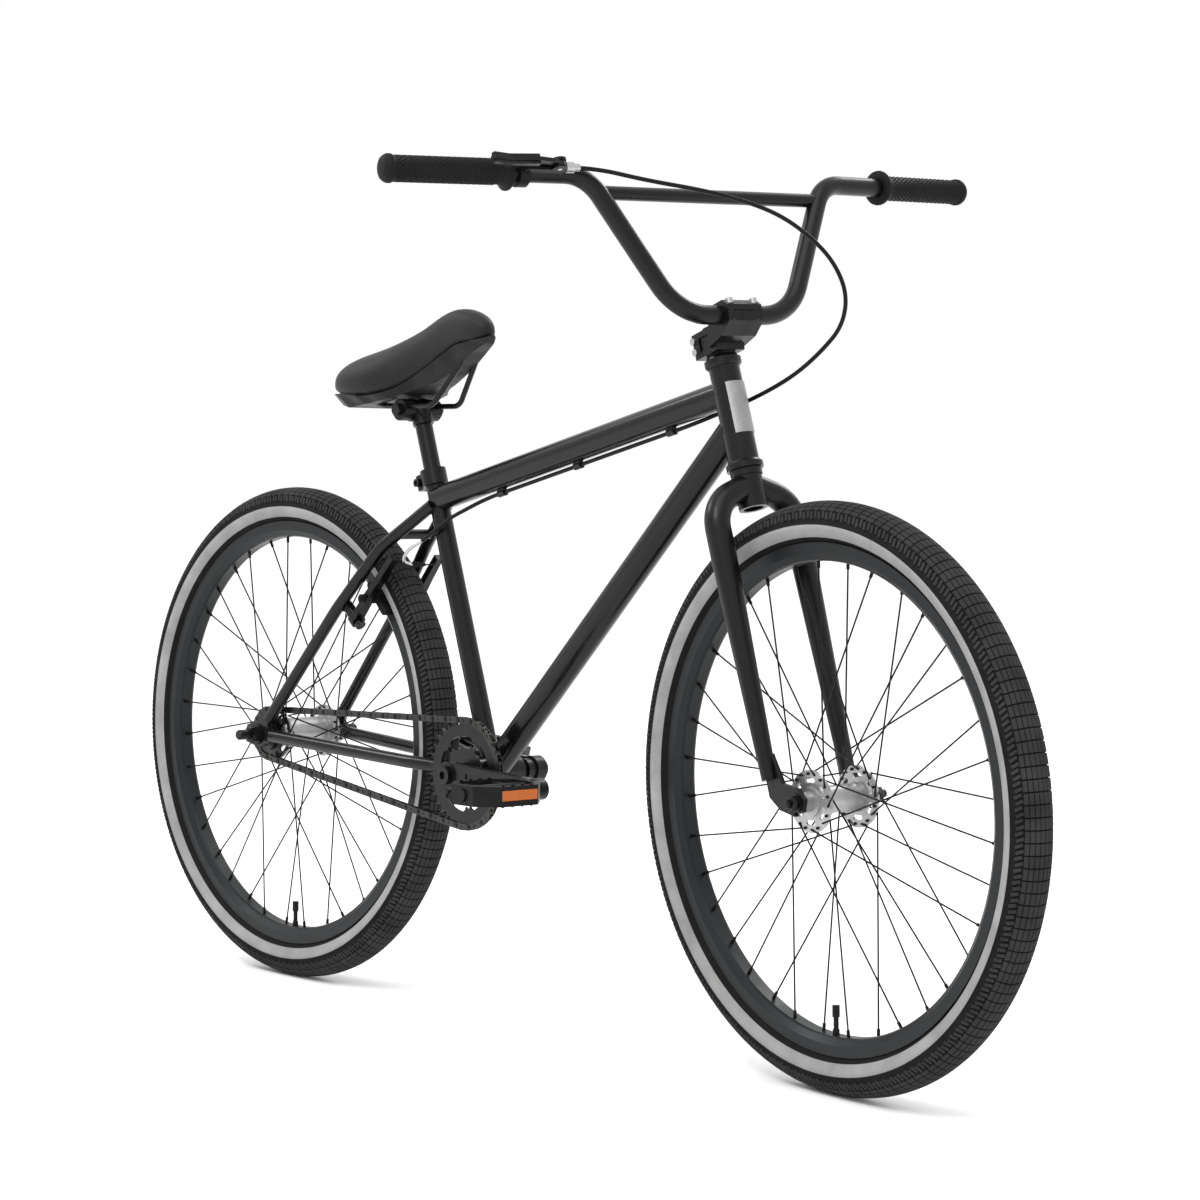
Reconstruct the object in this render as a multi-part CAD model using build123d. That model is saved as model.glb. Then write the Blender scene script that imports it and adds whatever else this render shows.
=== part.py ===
from build123d import *
from math import acos, asin, atan2, cos, degrees, hypot, pi, radians, sin, tan
import os

# A 26 inch BMX cruiser bicycle. Millimetres, +X forward, +Y to the rider's left, +Z up.
# The origin is on the ground, midway between the two axles. The right (drive) side is -Y.
# The steered parts are designed straight ahead in STEER and then turned by REST_TURN.

# ---------------------------------------------------------------- driving dimensions
WHEELBASE = 1009.0
TYRE_RADIUS = 331.0
TYRE_HALF_WIDTH = 26.0
RIM_RADIUS = 285.5
RIM_HALF_WIDTH = 15.5
RIM_DEPTH = 21.0
RIM_WALL = 1.6
BEAD_DEPTH = 8.0
SPOKES = 36
SPOKE_CROSSES = 3
SPOKE_RADIUS = 1.0
NIPPLE_RADIUS = 1.9
NIPPLE_LENGTH = 12.0
FLANGE_RADIUS = 35.0
FLANGE_HALF_THICKNESS = 1.5

HEAD_ANGLE = 72.0
FORK_OFFSET = 33.0
FORK_LENGTH = 402.0
HEAD_TUBE_LENGTH = 113.0
HEAD_TUBE_RADIUS = 18.0
HEAD_TUBE_BORE = 16.5
REST_TURN = -6.0

BB_HEIGHT = 311.0
CHAINSTAY_TARGET = 414.5
SEAT_ANGLE = 71.3
SEAT_TUBE_LENGTH = 398.0
SEAT_TUBE_RADIUS = 12.7
SEATPOST_RADIUS = 11.1
TOP_TUBE_RADIUS = 16.5
DOWN_TUBE_RADIUS = 17.5
TUBE_WALL = 1.4
BB_SHELL_RADIUS = 20.0
BB_SHELL_HALF_WIDTH = 34.0
REAR_HALF_SPACING = 60.0
FRONT_HALF_SPACING = 50.0
REAR_AXLE_RADIUS = 7.0
REAR_AXLE_HALF_LENGTH = 98.0
REAR_AXLE_TIP_RADIUS = 6.8
REAR_NUT_HEIGHT = 11.0
REAR_WASHER_THICKNESS = 3.0
FRONT_AXLE_RADIUS = 4.76
FRONT_AXLE_HALF_LENGTH = 73.0
DROPOUT_THICKNESS = 6.0
AXLE_TIP_START = REAR_HALF_SPACING + DROPOUT_THICKNESS + REAR_WASHER_THICKNESS + REAR_NUT_HEIGHT + 0.5

CHAIN_PITCH = 12.7
RING_TEETH = 33
COG_TEETH = 16
CHAIN_LINE = 45.0
CRANK_LENGTH = 165.0
CRANK_DROP = 3.5
PEDAL_LENGTH = 88.0
PEDAL_WIDTH = 104.0
PEDAL_THICKNESS = 24.0

BAR_RADIUS = 11.1
BAR_HALF_WIDTH = 420.0
BAR_RISE = 165.0
STEM_REACH = 39.5
GRIP_RADIUS = 15.0
GRIP_LENGTH = 152.0

# ---------------------------------------------------------------- fits and clearances
RUNNING_FIT = 0.05
SLIDE_FIT = 0.1
JOINT_GAP = 0.02
BODY_GAP = 0.5

# ---------------------------------------------------------------- derived frame geometry
AXLE_HEIGHT = TYRE_RADIUS
REAR_AXLE = Vector(-WHEELBASE / 2, 0, AXLE_HEIGHT)
FRONT_AXLE = Vector(WHEELBASE / 2, 0, AXLE_HEIGHT)
HEAD_SIN = sin(radians(HEAD_ANGLE))
HEAD_COS = cos(radians(HEAD_ANGLE))
STEER_FOOT = FRONT_AXLE - Vector(HEAD_SIN, 0, HEAD_COS) * FORK_OFFSET
STEER = Plane(origin=STEER_FOOT, x_dir=(HEAD_SIN, 0, HEAD_COS), z_dir=(-HEAD_COS, 0, HEAD_SIN))
STEER_AXIS = Axis(STEER_FOOT, Vector(-HEAD_COS, 0, HEAD_SIN))
HEAD_TOP = FORK_LENGTH + HEAD_TUBE_LENGTH

RING_RADIUS = CHAIN_PITCH / 2 / sin(pi / RING_TEETH)
COG_RADIUS = CHAIN_PITCH / 2 / sin(pi / COG_TEETH)


def chain_links(centre_distance):
    """How many pitches of chain wrap the two sprockets at this centre distance."""
    lean = asin((RING_RADIUS - COG_RADIUS) / centre_distance)
    straight = 2 * centre_distance * cos(lean) / CHAIN_PITCH
    return straight + (pi + 2 * lean) / (2 * pi) * RING_TEETH + (pi - 2 * lean) / (2 * pi) * COG_TEETH


LINKS = 2 * round(chain_links(CHAINSTAY_TARGET) / 2)
CHAINSTAY = CHAINSTAY_TARGET
for _ in range(6):
    CHAINSTAY = CHAINSTAY + (LINKS - chain_links(CHAINSTAY)) * CHAIN_PITCH / 2
BB = Vector(REAR_AXLE.X + (CHAINSTAY**2 - (AXLE_HEIGHT - BB_HEIGHT) ** 2) ** 0.5, 0, BB_HEIGHT)
SEAT_DIR = Vector(-cos(radians(SEAT_ANGLE)), 0, sin(radians(SEAT_ANGLE)))
SEAT = Plane(origin=BB, x_dir=(SEAT_DIR.Z, 0, -SEAT_DIR.X), z_dir=SEAT_DIR)


# ---------------------------------------------------------------- shape helpers
def rod(start, end, radius, far_radius=None):
    """A round bar or cone from one point to another."""
    start = Vector(start)
    end = Vector(end)
    along = end - start
    place = Plane(origin=start, z_dir=along)
    low = (Align.CENTER, Align.CENTER, Align.MIN)
    if far_radius is None:
        return place * Cylinder(radius, along.length, align=low)
    return place * Cone(radius, far_radius, along.length, align=low)


def drum_along(x, y, z, length, radius):
    """A round bar along the bicycle, centred on a point."""
    return rod((x - length / 2, y, z), (x + length / 2, y, z), radius)


def drum(x, z, y_low, y_high, radius):
    """A round bar across the bicycle, from one Y to another."""
    return rod((x, y_low, z), (x, y_high, z), radius)


def bent_rod(points, bends, radius):
    """A round bar along straight runs joined by arcs."""
    path = FilletPolyline(*points, radius=bends)
    section = Plane(origin=path @ 0, z_dir=path % 0) * Circle(radius)
    return sweep(section, path=path)


def mirrored(shape):
    """The same shape on the other side of the bicycle."""
    return mirror(shape, about=Plane.XZ)


def plate(plane, points, thickness):
    """A flat plate with straight sides, centred on its plane."""
    outline = make_face(plane * Polyline(*points, close=True))
    return extrude(outline, amount=thickness / 2, both=True)


def between(start, end, share):
    """A point part of the way from one point to another."""
    return Vector(start) + (Vector(end) - Vector(start)) * share


def grouped(*shapes):
    """Several separate solids kept together in one node."""
    solids = []
    for shape in shapes:
        solids.extend(shape.solids())
    return Compound(children=solids)


def turned(shape):
    """A steered shape, designed straight ahead, at its rest angle."""
    return shape.rotate(STEER_AXIS, REST_TURN)


# ---------------------------------------------------------------- wheels
# A wheel is made about Z, with +Z to the right side, and then stood up.
HUB_HOLE_CIRCLE = FLANGE_RADIUS - 4.0
NIPPLE_SEAT = RIM_RADIUS - RIM_DEPTH
SPOKE_STEP = 360.0 / SPOKES
FLANGE_STEP = 2 * SPOKE_STEP
SPOKE_FACE = FLANGE_HALF_THICKNESS + SPOKE_RADIUS + 0.15


def polar(radius, angle, z):
    """A point given by its radius, its angle in degrees and its height."""
    return Vector(radius * cos(radians(angle)), radius * sin(radians(angle)), z)


def spoke_lines(right_flange, left_flange, phase):
    """Each spoke as its hub end, its rim end, its flange and its side of that flange."""
    lines = []
    for flange, sign, shift in ((right_flange, 1, 0.0), (-left_flange, -1, SPOKE_STEP)):
        for index in range(SPOKES // 2):
            leading = 1 if index % 2 == 0 else -1
            hub_angle = phase + shift + FLANGE_STEP * index
            rim_angle = hub_angle + leading * SPOKE_CROSSES * FLANGE_STEP
            face = flange + leading * SPOKE_FACE
            hub_end = polar(HUB_HOLE_CIRCLE, hub_angle, face)
            rim_end = polar(NIPPLE_SEAT + 4.0, rim_angle, sign * 1.5)
            lines.append((hub_end, rim_end, flange, leading))
    return lines


def make_tyre():
    """A hollow tyre, open between its beads."""
    bead = RIM_RADIUS - BEAD_DEPTH
    seat = RIM_HALF_WIDTH - RIM_WALL - 0.3
    belly = RIM_RADIUS + 20.5
    crown = TYRE_RADIUS - 7.0
    wide = TYRE_HALF_WIDTH
    thick = 3.4
    outer_side = ThreePointArc(
        (RIM_RADIUS + 1.0, seat + 0.6), (RIM_RADIUS + 9.0, wide * 0.87), (belly, wide)
    )
    outer_crown = ThreePointArc((belly, wide), (TYRE_RADIUS - 7.4, wide * 0.71), (TYRE_RADIUS, 0))
    inner_crown = ThreePointArc((crown, 0), (TYRE_RADIUS - 12.6, wide * 0.6), (belly, wide - thick))
    inner_side = ThreePointArc(
        (belly, wide - thick), (RIM_RADIUS + 10.5, wide * 0.74), (RIM_RADIUS + 2.0, seat - 3.2)
    )
    wall = Polyline(
        (RIM_RADIUS + 2.0, seat - 3.2), (bead, seat - 3.2), (bead, seat), (RIM_RADIUS + 1.0, seat),
        (RIM_RADIUS + 1.0, seat + 0.6),
    )
    base = Line((crown, 0), (TYRE_RADIUS, 0))
    half = make_face([outer_side, outer_crown, inner_crown, inner_side, wall, base])
    ring = revolve(Plane.XZ * half, axis=Axis.Z)
    return ring + mirror(ring, about=Plane.XY)


def make_rim(lines, valve_angle):
    """A double-walled rim with a hole for each nipple and for the valve."""
    edge = RIM_RADIUS
    half = RIM_HALF_WIDTH
    deep = edge - RIM_DEPTH
    well = edge - 13.0
    lip = half - RIM_WALL
    seat = edge - BEAD_DEPTH - 0.3
    outline = [
        (edge, half), (edge - 12.5, half), (deep + 1.5, 10.5), (deep, 7.5), (deep, -7.5),
        (deep + 1.5, -10.5), (edge - 12.5, -half), (edge, -half), (edge, -lip), (seat, -lip),
        (well, -8.5), (well, 8.5), (seat, lip), (edge, lip),
    ]
    hollow = [
        (well - RIM_WALL, 8.0), (deep + RIM_WALL, 7.0), (deep + RIM_WALL, -7.0), (well - RIM_WALL, -8.0),
    ]
    rim = revolve(Plane.XZ * make_face(Polyline(*outline, close=True)), axis=Axis.Z)
    rim -= revolve(Plane.XZ * make_face(Polyline(*hollow, close=True)), axis=Axis.Z)
    holes = []
    for hub_end, rim_end, _, _ in lines:
        along = (rim_end - hub_end).normalized()
        holes.append(rod(rim_end - along * 12.0, rim_end + along * 5.5, NIPPLE_RADIUS + 0.3))
    holes.append(rod(polar(deep - 3.0, valve_angle, 0), polar(edge, valve_angle, 0), VALVE_RADIUS + 0.2))
    return rim - holes


def make_spokes(lines):
    """Straight-pull spokes with a bent head through the flange and a nipple at the rim."""
    spokes = []
    for hub_end, rim_end, flange, leading in lines:
        along = (rim_end - hub_end).normalized()
        head = Vector(hub_end.X, hub_end.Y, flange - leading * (FLANGE_HALF_THICKNESS + 0.9))
        wire = rod(hub_end, rim_end, SPOKE_RADIUS)
        elbow = rod(hub_end, head, SPOKE_RADIUS)
        button = Pos(head.X, head.Y, head.Z) * Sphere(SPOKE_RADIUS * 1.8)
        button &= Pos(head.X, head.Y, flange - leading * (FLANGE_HALF_THICKNESS + 2.05)) * Box(6, 6, 4)
        nipple = rod(rim_end - along * NIPPLE_LENGTH, rim_end, NIPPLE_RADIUS)
        knuckle = Pos(hub_end.X, hub_end.Y, hub_end.Z) * Sphere(SPOKE_RADIUS)
        spokes.append(wire + elbow + knuckle + button + nipple)
    return spokes


def make_hub(right_flange, left_flange, half_spacing, bore, barrel, lines, driver=None):
    """A high-flange hub with windows in its flanges and holes for the spoke heads."""
    thick = FLANGE_HALF_THICKNESS
    end = half_spacing - BODY_GAP
    shoulder = barrel * 0.74
    right_end = driver if driver else end
    profile = [
        (bore, -end), (shoulder, -end), (shoulder, -left_flange - 7), (barrel * 1.1, -left_flange - 5),
        (barrel * 1.1, -left_flange - thick), (FLANGE_RADIUS, -left_flange - thick),
        (FLANGE_RADIUS, -left_flange + thick), (barrel * 1.1, -left_flange + thick),
        (barrel, -left_flange + 7), (barrel, right_flange - 7), (barrel * 1.1, right_flange - thick),
        (FLANGE_RADIUS, right_flange - thick), (FLANGE_RADIUS, right_flange + thick),
        (barrel * 1.1, right_flange + thick), (barrel * 1.1, right_flange + 3), (shoulder, right_flange + 4),
        (shoulder, right_end), (bore, right_end),
    ]
    hub = revolve(Plane.XZ * make_face(Polyline(*profile, close=True)), axis=Axis.Z)
    cuts = []
    for hub_end, _, flange, _ in lines:
        low = Vector(hub_end.X, hub_end.Y, flange - thick - 1)
        cuts.append(rod(low, low + Vector(0, 0, 2 * thick + 2), SPOKE_RADIUS + 0.12))
    window = SlotArc(CenterArc((0, 0), (barrel * 1.1 + HUB_HOLE_CIRCLE) / 2 - 0.2, 0, 26), 5.4)
    for flange in (right_flange, -left_flange):
        for index in range(6):
            level = Pos(0, 0, flange - thick - 1) * Rot(0, 0, 60 * index)
            cuts.append(level * extrude(window, amount=2 * thick + 2))
    return hub - cuts


VALVE_RADIUS = 3.9


def make_valve(angle):
    """The valve stem that stands out of the rim, with its dust cap."""
    top = RIM_RADIUS - 9.0
    stem = rod(polar(RIM_RADIUS - 52, angle, 0), polar(top, angle, 0), VALVE_RADIUS - 1.0)
    base = rod(polar(RIM_RADIUS - 27, angle, 0), polar(top, angle, 0), VALVE_RADIUS)
    cap = rod(polar(RIM_RADIUS - 54, angle, 0), polar(RIM_RADIUS - 41, angle, 0), VALVE_RADIUS + 0.3)
    return stem + base + cap


def make_wheel(flanges, half_spacing, bore, barrel, phase, driver=None):
    """Tyre, rim, hub, spokes and valve of one wheel, about Z."""
    lines = spoke_lines(flanges[0], flanges[1], phase + SPOKE_STEP / 2)
    parts = {
        "tyre": make_tyre(),
        "rim": make_rim(lines, phase),
        "hub": make_hub(flanges[0], flanges[1], half_spacing, bore, barrel, lines, driver),
        "spokes": Compound(children=make_spokes(lines)),
        "valve": make_valve(phase),
    }
    return parts


STAND_UP = Rot(90, 0, 0)
FRONT_WHEEL_PLACE = STEER.location * Pos(FORK_OFFSET, 0, 0) * STAND_UP
REAR_WHEEL_PLACE = Pos(REAR_AXLE.X, 0, REAR_AXLE.Z) * STAND_UP
REAR_FLANGES = (35.0, 45.0)
FRONT_FLANGES = (34.0, 34.0)
DRIVER_END = 38.6
DRIVER_RADIUS = 15.0


# ---------------------------------------------------------------- sprockets, chain and cranks
ROLLER_RADIUS = 3.85
SPROCKET_HALF_THICKNESS = 1.5


def toothed_disc(teeth, pitch_radius, turn):
    """A sprocket disc about Z with one tooth between each pair of rollers."""
    root = pitch_radius - ROLLER_RADIUS - 0.35
    tip = pitch_radius + 3.2
    half_root = (CHAIN_PITCH / 2 - ROLLER_RADIUS * 0.9 - 0.3) / root
    half_tip = 0.8 / tip
    step = 2 * pi / teeth
    points = []
    for index in range(teeth):
        centre = radians(turn) + step * (index + 0.5)
        for radius, offset in ((root, -half_root), (tip, -half_tip), (tip, half_tip), (root, half_root)):
            points.append((radius * cos(centre + offset), radius * sin(centre + offset)))
    return extrude(make_face(Polyline(*points, close=True)), amount=SPROCKET_HALF_THICKNESS, both=True)


def chain_route():
    """Roller centres round both sprockets, seen from the left with X forward and Z up."""
    span = REAR_AXLE - BB
    lean = atan2(span.Z, -span.X)
    fold = asin((RING_RADIUS - COG_RADIUS) / span.length)
    run = span.length * cos(fold)
    ring_wrap = pi + 2 * fold
    cog_wrap = pi - 2 * fold
    total = 2 * run + RING_RADIUS * ring_wrap + COG_RADIUS * cog_wrap
    top_angle = pi / 2 - lean + fold
    rollers = []
    for index in range(LINKS):
        travel = total * index / LINKS
        if travel < RING_RADIUS * ring_wrap:
            angle = top_angle - travel / RING_RADIUS
            centre, radius = BB, RING_RADIUS
            rollers.append(Vector(centre.X + radius * cos(angle), 0, centre.Z + radius * sin(angle)))
            continue
        travel -= RING_RADIUS * ring_wrap
        low_angle = top_angle - ring_wrap
        ring_low = Vector(BB.X + RING_RADIUS * cos(low_angle), 0, BB.Z + RING_RADIUS * sin(low_angle))
        cog_low = Vector(
            REAR_AXLE.X + COG_RADIUS * cos(low_angle), 0, REAR_AXLE.Z + COG_RADIUS * sin(low_angle)
        )
        if travel < run:
            rollers.append(between(ring_low, cog_low, travel / run))
            continue
        travel -= run
        if travel < COG_RADIUS * cog_wrap:
            angle = low_angle - travel / COG_RADIUS
            rollers.append(
                Vector(REAR_AXLE.X + COG_RADIUS * cos(angle), 0, REAR_AXLE.Z + COG_RADIUS * sin(angle))
            )
            continue
        travel -= COG_RADIUS * cog_wrap
        ring_top = Vector(BB.X + RING_RADIUS * cos(top_angle), 0, BB.Z + RING_RADIUS * sin(top_angle))
        cog_top = Vector(
            REAR_AXLE.X + COG_RADIUS * cos(top_angle), 0, REAR_AXLE.Z + COG_RADIUS * sin(top_angle)
        )
        rollers.append(between(cog_top, ring_top, travel / run))
    return rollers


def roller_phase(rollers, centre, radius):
    """The angle, in degrees, of a roller that sits on the sprocket with this centre."""
    seated = min(rollers, key=lambda point: abs((point - centre).length - radius))
    near = [p for p in rollers if abs((p - centre).length - radius) < 0.2]
    middle = near[len(near) // 2] if near else seated
    return degrees(atan2(middle.Z - centre.Z, middle.X - centre.X))


def make_chain(rollers):
    """A roller chain: a roller at each joint, and pairs of inner and outer side plates."""
    pieces = []
    count = len(rollers)
    for index, point in enumerate(rollers):
        ahead = rollers[(index + 1) % count]
        outer = index % 2 == 0
        near, far = (2.75, 3.55) if outer else (1.8, 2.6)
        pin_reach = 4.2
        pieces.append(drum(point.X, point.Z, -CHAIN_LINE - pin_reach, -CHAIN_LINE + pin_reach, 1.6))
        pieces.append(drum(point.X, point.Z, -CHAIN_LINE - 1.85, -CHAIN_LINE + 1.85, ROLLER_RADIUS))
        middle = between(point, ahead, 0.5)
        angle = degrees(atan2(ahead.Z - point.Z, ahead.X - point.X))
        outline = SlotCenterToCenter((ahead - point).length, 7.6 if outer else 8.2)
        for low, high in ((near, far), (-far, -near)):
            side = extrude(outline, amount=high - low)
            side = Pos(middle.X, -CHAIN_LINE + high, middle.Z) * Rot(90, 0, 0) * Rot(0, 0, angle) * side
            pieces.append(side)
    return pieces


def make_chainring(rollers):
    """The toothed ring with its spider, cut out between five arms."""
    phase = roller_phase(rollers, BB, RING_RADIUS)
    ring = toothed_disc(RING_TEETH, RING_RADIUS, phase)
    middle = RING_RADIUS * 0.60
    for index in range(5):
        window = SlotArc(CenterArc((0, 0), middle, 72 * index + 8, 40), 15.0)
        ring -= extrude(window, amount=4, both=True)
    for index in range(5):
        hole = Rot(0, 0, 72 * index - 8) * Pos(middle, 0, 0) * Cylinder(4.0, 8)
        ring -= hole
    ring -= Cylinder(SPINDLE_RADIUS + 0.05, 20)
    return Pos(BB.X, -CHAIN_LINE, BB.Z) * STAND_UP * ring


SPINDLE_RADIUS = 9.5
ARM_INNER = 61.0
ARM_THICKNESS = 15.0
ARM_OUTER = ARM_INNER + ARM_THICKNESS
PEDAL_BORE = 7.0
CRANK_ANGLE = degrees(asin(CRANK_DROP / CRANK_LENGTH))


def crank_eye(side):
    """Where a pedal axle meets its crank arm. side is -1 on the right and 1 on the left."""
    reach = CRANK_LENGTH * cos(radians(CRANK_ANGLE)) * -side
    drop = CRANK_LENGTH * sin(radians(CRANK_ANGLE)) * side
    return Vector(BB.X + reach, side * (ARM_INNER + ARM_THICKNESS / 2), BB.Z + drop)


def make_crank_arm(side):
    """One forged arm: a round boss, a tapering blade and an eye for the pedal."""
    eye = crank_eye(side)
    low, high = sorted((side * ARM_INNER, side * ARM_OUTER))
    boss_low, boss_high = sorted((side * (BB_SHELL_HALF_WIDTH + 15.0), side * ARM_OUTER))
    boss = drum(BB.X, BB.Z, low, high, 17.0)
    neck = drum(BB.X, BB.Z, boss_low, boss_high, 14.0)
    knob = drum(eye.X, eye.Z, low, high, 13.0)
    reach = eye.X - BB.X
    slope = (eye.Z - BB.Z) / reach
    outline = [
        (BB.X, BB.Z + 15.5), (eye.X, eye.Z + 11.0), (eye.X, eye.Z - 11.0), (BB.X, BB.Z - 15.5),
    ]
    blade = plate(Plane.XZ, outline, ARM_THICKNESS - 2.0)
    blade = Pos(0, side * (ARM_INNER + ARM_THICKNESS / 2), 0) * blade
    groove_start = BB.X + reach * 0.22
    groove_end = BB.X + reach * 0.80
    groove_outline = [
        (groove_start, BB.Z + slope * reach * 0.22 + 5.5), (groove_end, BB.Z + slope * reach * 0.8 + 3.5),
        (groove_end, BB.Z + slope * reach * 0.8 - 3.5), (groove_start, BB.Z + slope * reach * 0.22 - 5.5),
    ]
    groove = Pos(0, side * (ARM_OUTER - 1.0), 0) * plate(Plane.XZ, groove_outline, 3.0)
    bore = drum(eye.X, eye.Z, low - 1, high + 1, PEDAL_BORE + RUNNING_FIT)
    centre = drum(BB.X, BB.Z, boss_low - 1, boss_high + 1, SPINDLE_RADIUS + JOINT_GAP)
    return boss + neck + knob + blade - groove - bore - centre


def make_spindle():
    """The crank spindle with a bolt head at each end."""
    spindle = drum(BB.X, BB.Z, -ARM_OUTER - 1.0, ARM_OUTER + 1.0, SPINDLE_RADIUS)
    for side in (-1, 1):
        low, high = sorted((side * (ARM_OUTER + 1.0), side * (ARM_OUTER + 6.0)))
        head = drum(BB.X, BB.Z, low, high, 11.5)
        socket_low, socket_high = sorted((side * (ARM_OUTER + 2.0), side * (ARM_OUTER + 7.0)))
        spindle = spindle + head - drum(BB.X, BB.Z, socket_low, socket_high, 5.0)
    return spindle


PEDAL_START = ARM_OUTER + 5.0
PEDAL_PITCH = {-1: 0.0, 1: 14.0}


def make_pedal(side):
    """A resin platform pedal: an eight-sided frame round a core, with its axle and end cap."""
    eye = crank_eye(side)
    half = PEDAL_LENGTH / 2
    wide = PEDAL_WIDTH
    cut = 24.0
    nose = half - 24.0
    outline = [
        (half, cut), (half, wide - cut), (nose, wide), (-nose, wide), (-half, wide - cut), (-half, cut),
        (-nose, 0), (nose, 0),
    ]
    inner = 9.0
    gap = [
        (half - inner, cut + 4), (half - inner, wide - cut - 4), (nose - 1, wide - inner),
        (-nose + 1, wide - inner), (-half + inner, wide - cut - 4), (-half + inner, cut + 4),
        (-nose + 1, inner), (nose - 1, inner),
    ]
    body = plate(Plane.XY, outline, PEDAL_THICKNESS)
    body -= plate(Plane.XY, gap, PEDAL_THICKNESS + 2)
    core = rod((0, 1, 0), (0, wide - 1, 0), 10.5)
    bars = []
    for share in (0.3, 0.7):
        bars.append(Pos(0, wide * share, 0) * Box(PEDAL_LENGTH - inner, 4.0, PEDAL_THICKNESS - 6.0))
    body = body + core + bars
    for share in (-1, 1):
        slot = Pos(share * (half - 1.5), wide / 2, -1.0) * Box(4.0, REFLECTOR_LENGTH + 0.6, 12.6)
        body -= slot
    for column in range(4):
        for lengthwise in (-1, 1):
            for upward in (-1, 1):
                spot = Pos(
                    lengthwise * (half - 5.0), cut + 6 + column * (wide - 2 * cut - 12) / 3,
                    upward * (PEDAL_THICKNESS / 2),
                )
                body += spot * Cone(2.2, 1.2, 3.0)
    body += rod((0, wide - 1, 0), (0, wide + 3, 0), 8.0)
    body -= rod((0, -1, 0), (0, wide * 0.7, 0), PEDAL_BORE + RUNNING_FIT)
    axle = rod((0, -ARM_THICKNESS - 4.0, 0), (0, wide * 0.7 - 1, 0), PEDAL_BORE)
    collar = rod((0, -4.5, 0), (0, -0.5, 0), 9.5)
    reflectors = []
    for share in (-1, 1):
        spot = Pos(share * (half - 1.5), wide / 2, -1.0)
        reflectors.append(spot * Box(3.0, REFLECTOR_LENGTH, 12.0))
    place = Pos(eye.X, side * PEDAL_START, eye.Z) * Rot(0, PEDAL_PITCH[side], 0)
    if side < 0:
        place = place * Rot(180, 0, 0)
    return place * body, place * (axle + collar), [place * reflector for reflector in reflectors]


REFLECTOR_LENGTH = 54.0


# ---------------------------------------------------------------- frame tubes
def seat_point(travel):
    """A point on the seat tube's centre line, this far up from the bottom bracket."""
    return BB + SEAT_DIR * travel


def steer_point(travel, forward=0.0, left=0.0):
    """A point of the straight-ahead steering assembly, up its axis from its foot."""
    return STEER.from_local_coords(Vector(forward, left, travel))


TOP_TUBE_ON_HEAD = 83.0
TOP_TUBE_ON_SEAT = 359.0
DOWN_TUBE_ON_HEAD = 43.0
DOWN_TUBE_MITRE = 60.0


def make_frame_tubes():
    """The main triangle and the bottom bracket shell, each tube cut to fit its neighbours."""
    head_outer = rod(steer_point(FORK_LENGTH), steer_point(HEAD_TOP), HEAD_TUBE_RADIUS)
    head_bore = rod(steer_point(FORK_LENGTH - 1), steer_point(HEAD_TOP + 1), HEAD_TUBE_BORE)
    head_tube = head_outer - head_bore
    head_cutter = rod(steer_point(FORK_LENGTH - 30), steer_point(HEAD_TOP + 30), HEAD_TUBE_RADIUS + JOINT_GAP)
    seat_outer = rod(BB, seat_point(SEAT_TUBE_LENGTH), SEAT_TUBE_RADIUS)
    seat_bore = rod(seat_point(40), seat_point(SEAT_TUBE_LENGTH + 1), SEATPOST_RADIUS + SLIDE_FIT)
    shell_cutter = drum(BB.X, BB.Z, -60, 60, BB_SHELL_RADIUS + JOINT_GAP)
    seat_tube = seat_outer - seat_bore - shell_cutter
    slit = SEAT.location * Pos(-SEAT_TUBE_RADIUS, 0, SEAT_TUBE_LENGTH - 12) * Box(12, 2.0, 26)
    seat_tube -= slit
    seat_cutter = rod(BB, seat_point(SEAT_TUBE_LENGTH + 40), SEAT_TUBE_RADIUS + JOINT_GAP)
    high = steer_point(FORK_LENGTH + TOP_TUBE_ON_HEAD)
    low = seat_point(TOP_TUBE_ON_SEAT)
    top_tube = rod(low, high, TOP_TUBE_RADIUS) - rod(low, high, TOP_TUBE_RADIUS - TUBE_WALL)
    top_tube = top_tube - head_cutter - seat_cutter
    down_high = steer_point(FORK_LENGTH + DOWN_TUBE_ON_HEAD)
    down_tube = rod(BB, down_high, DOWN_TUBE_RADIUS) - rod(BB, down_high, DOWN_TUBE_RADIUS - TUBE_WALL)
    top_cutter = rod(low, high, TOP_TUBE_RADIUS + JOINT_GAP)
    down_tube = down_tube - head_cutter - seat_cutter - top_cutter - shell_cutter
    shell = drum(BB.X, BB.Z, -BB_SHELL_HALF_WIDTH, BB_SHELL_HALF_WIDTH, BB_SHELL_RADIUS)
    shell -= drum(BB.X, BB.Z, -BB_SHELL_HALF_WIDTH - 1, BB_SHELL_HALF_WIDTH + 1, BB_SHELL_RADIUS - 3.0)
    return {
        "head_tube": head_tube,
        "top_tube": largest(top_tube),
        "down_tube": largest(down_tube),
        "seat_tube": largest(seat_tube),
        "bottom_bracket_shell": shell,
    }


def largest(shape):
    """The biggest solid of a cut shape, without the slivers that its mitres leave."""
    return max(shape.solids(), key=lambda solid: solid.volume)


CHAINSTAY_RADIUS = 8.5
SEATSTAY_RADIUS = 8.0
STAY_SPREAD = 60.0


def chainstay_points():
    """The left chainstay's centre line, from the bottom bracket to the dropout."""
    drop = (AXLE_HEIGHT - BB_HEIGHT) / CHAINSTAY
    reach = CHAINSTAY
    points = []
    for travel, spread in ((8, 25.0), (62, 30.0), (118, 42.5), (reach - 26, STAY_SPREAD)):
        points.append(Vector(BB.X - travel, spread, BB.Z + travel * drop))
    return points


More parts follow.
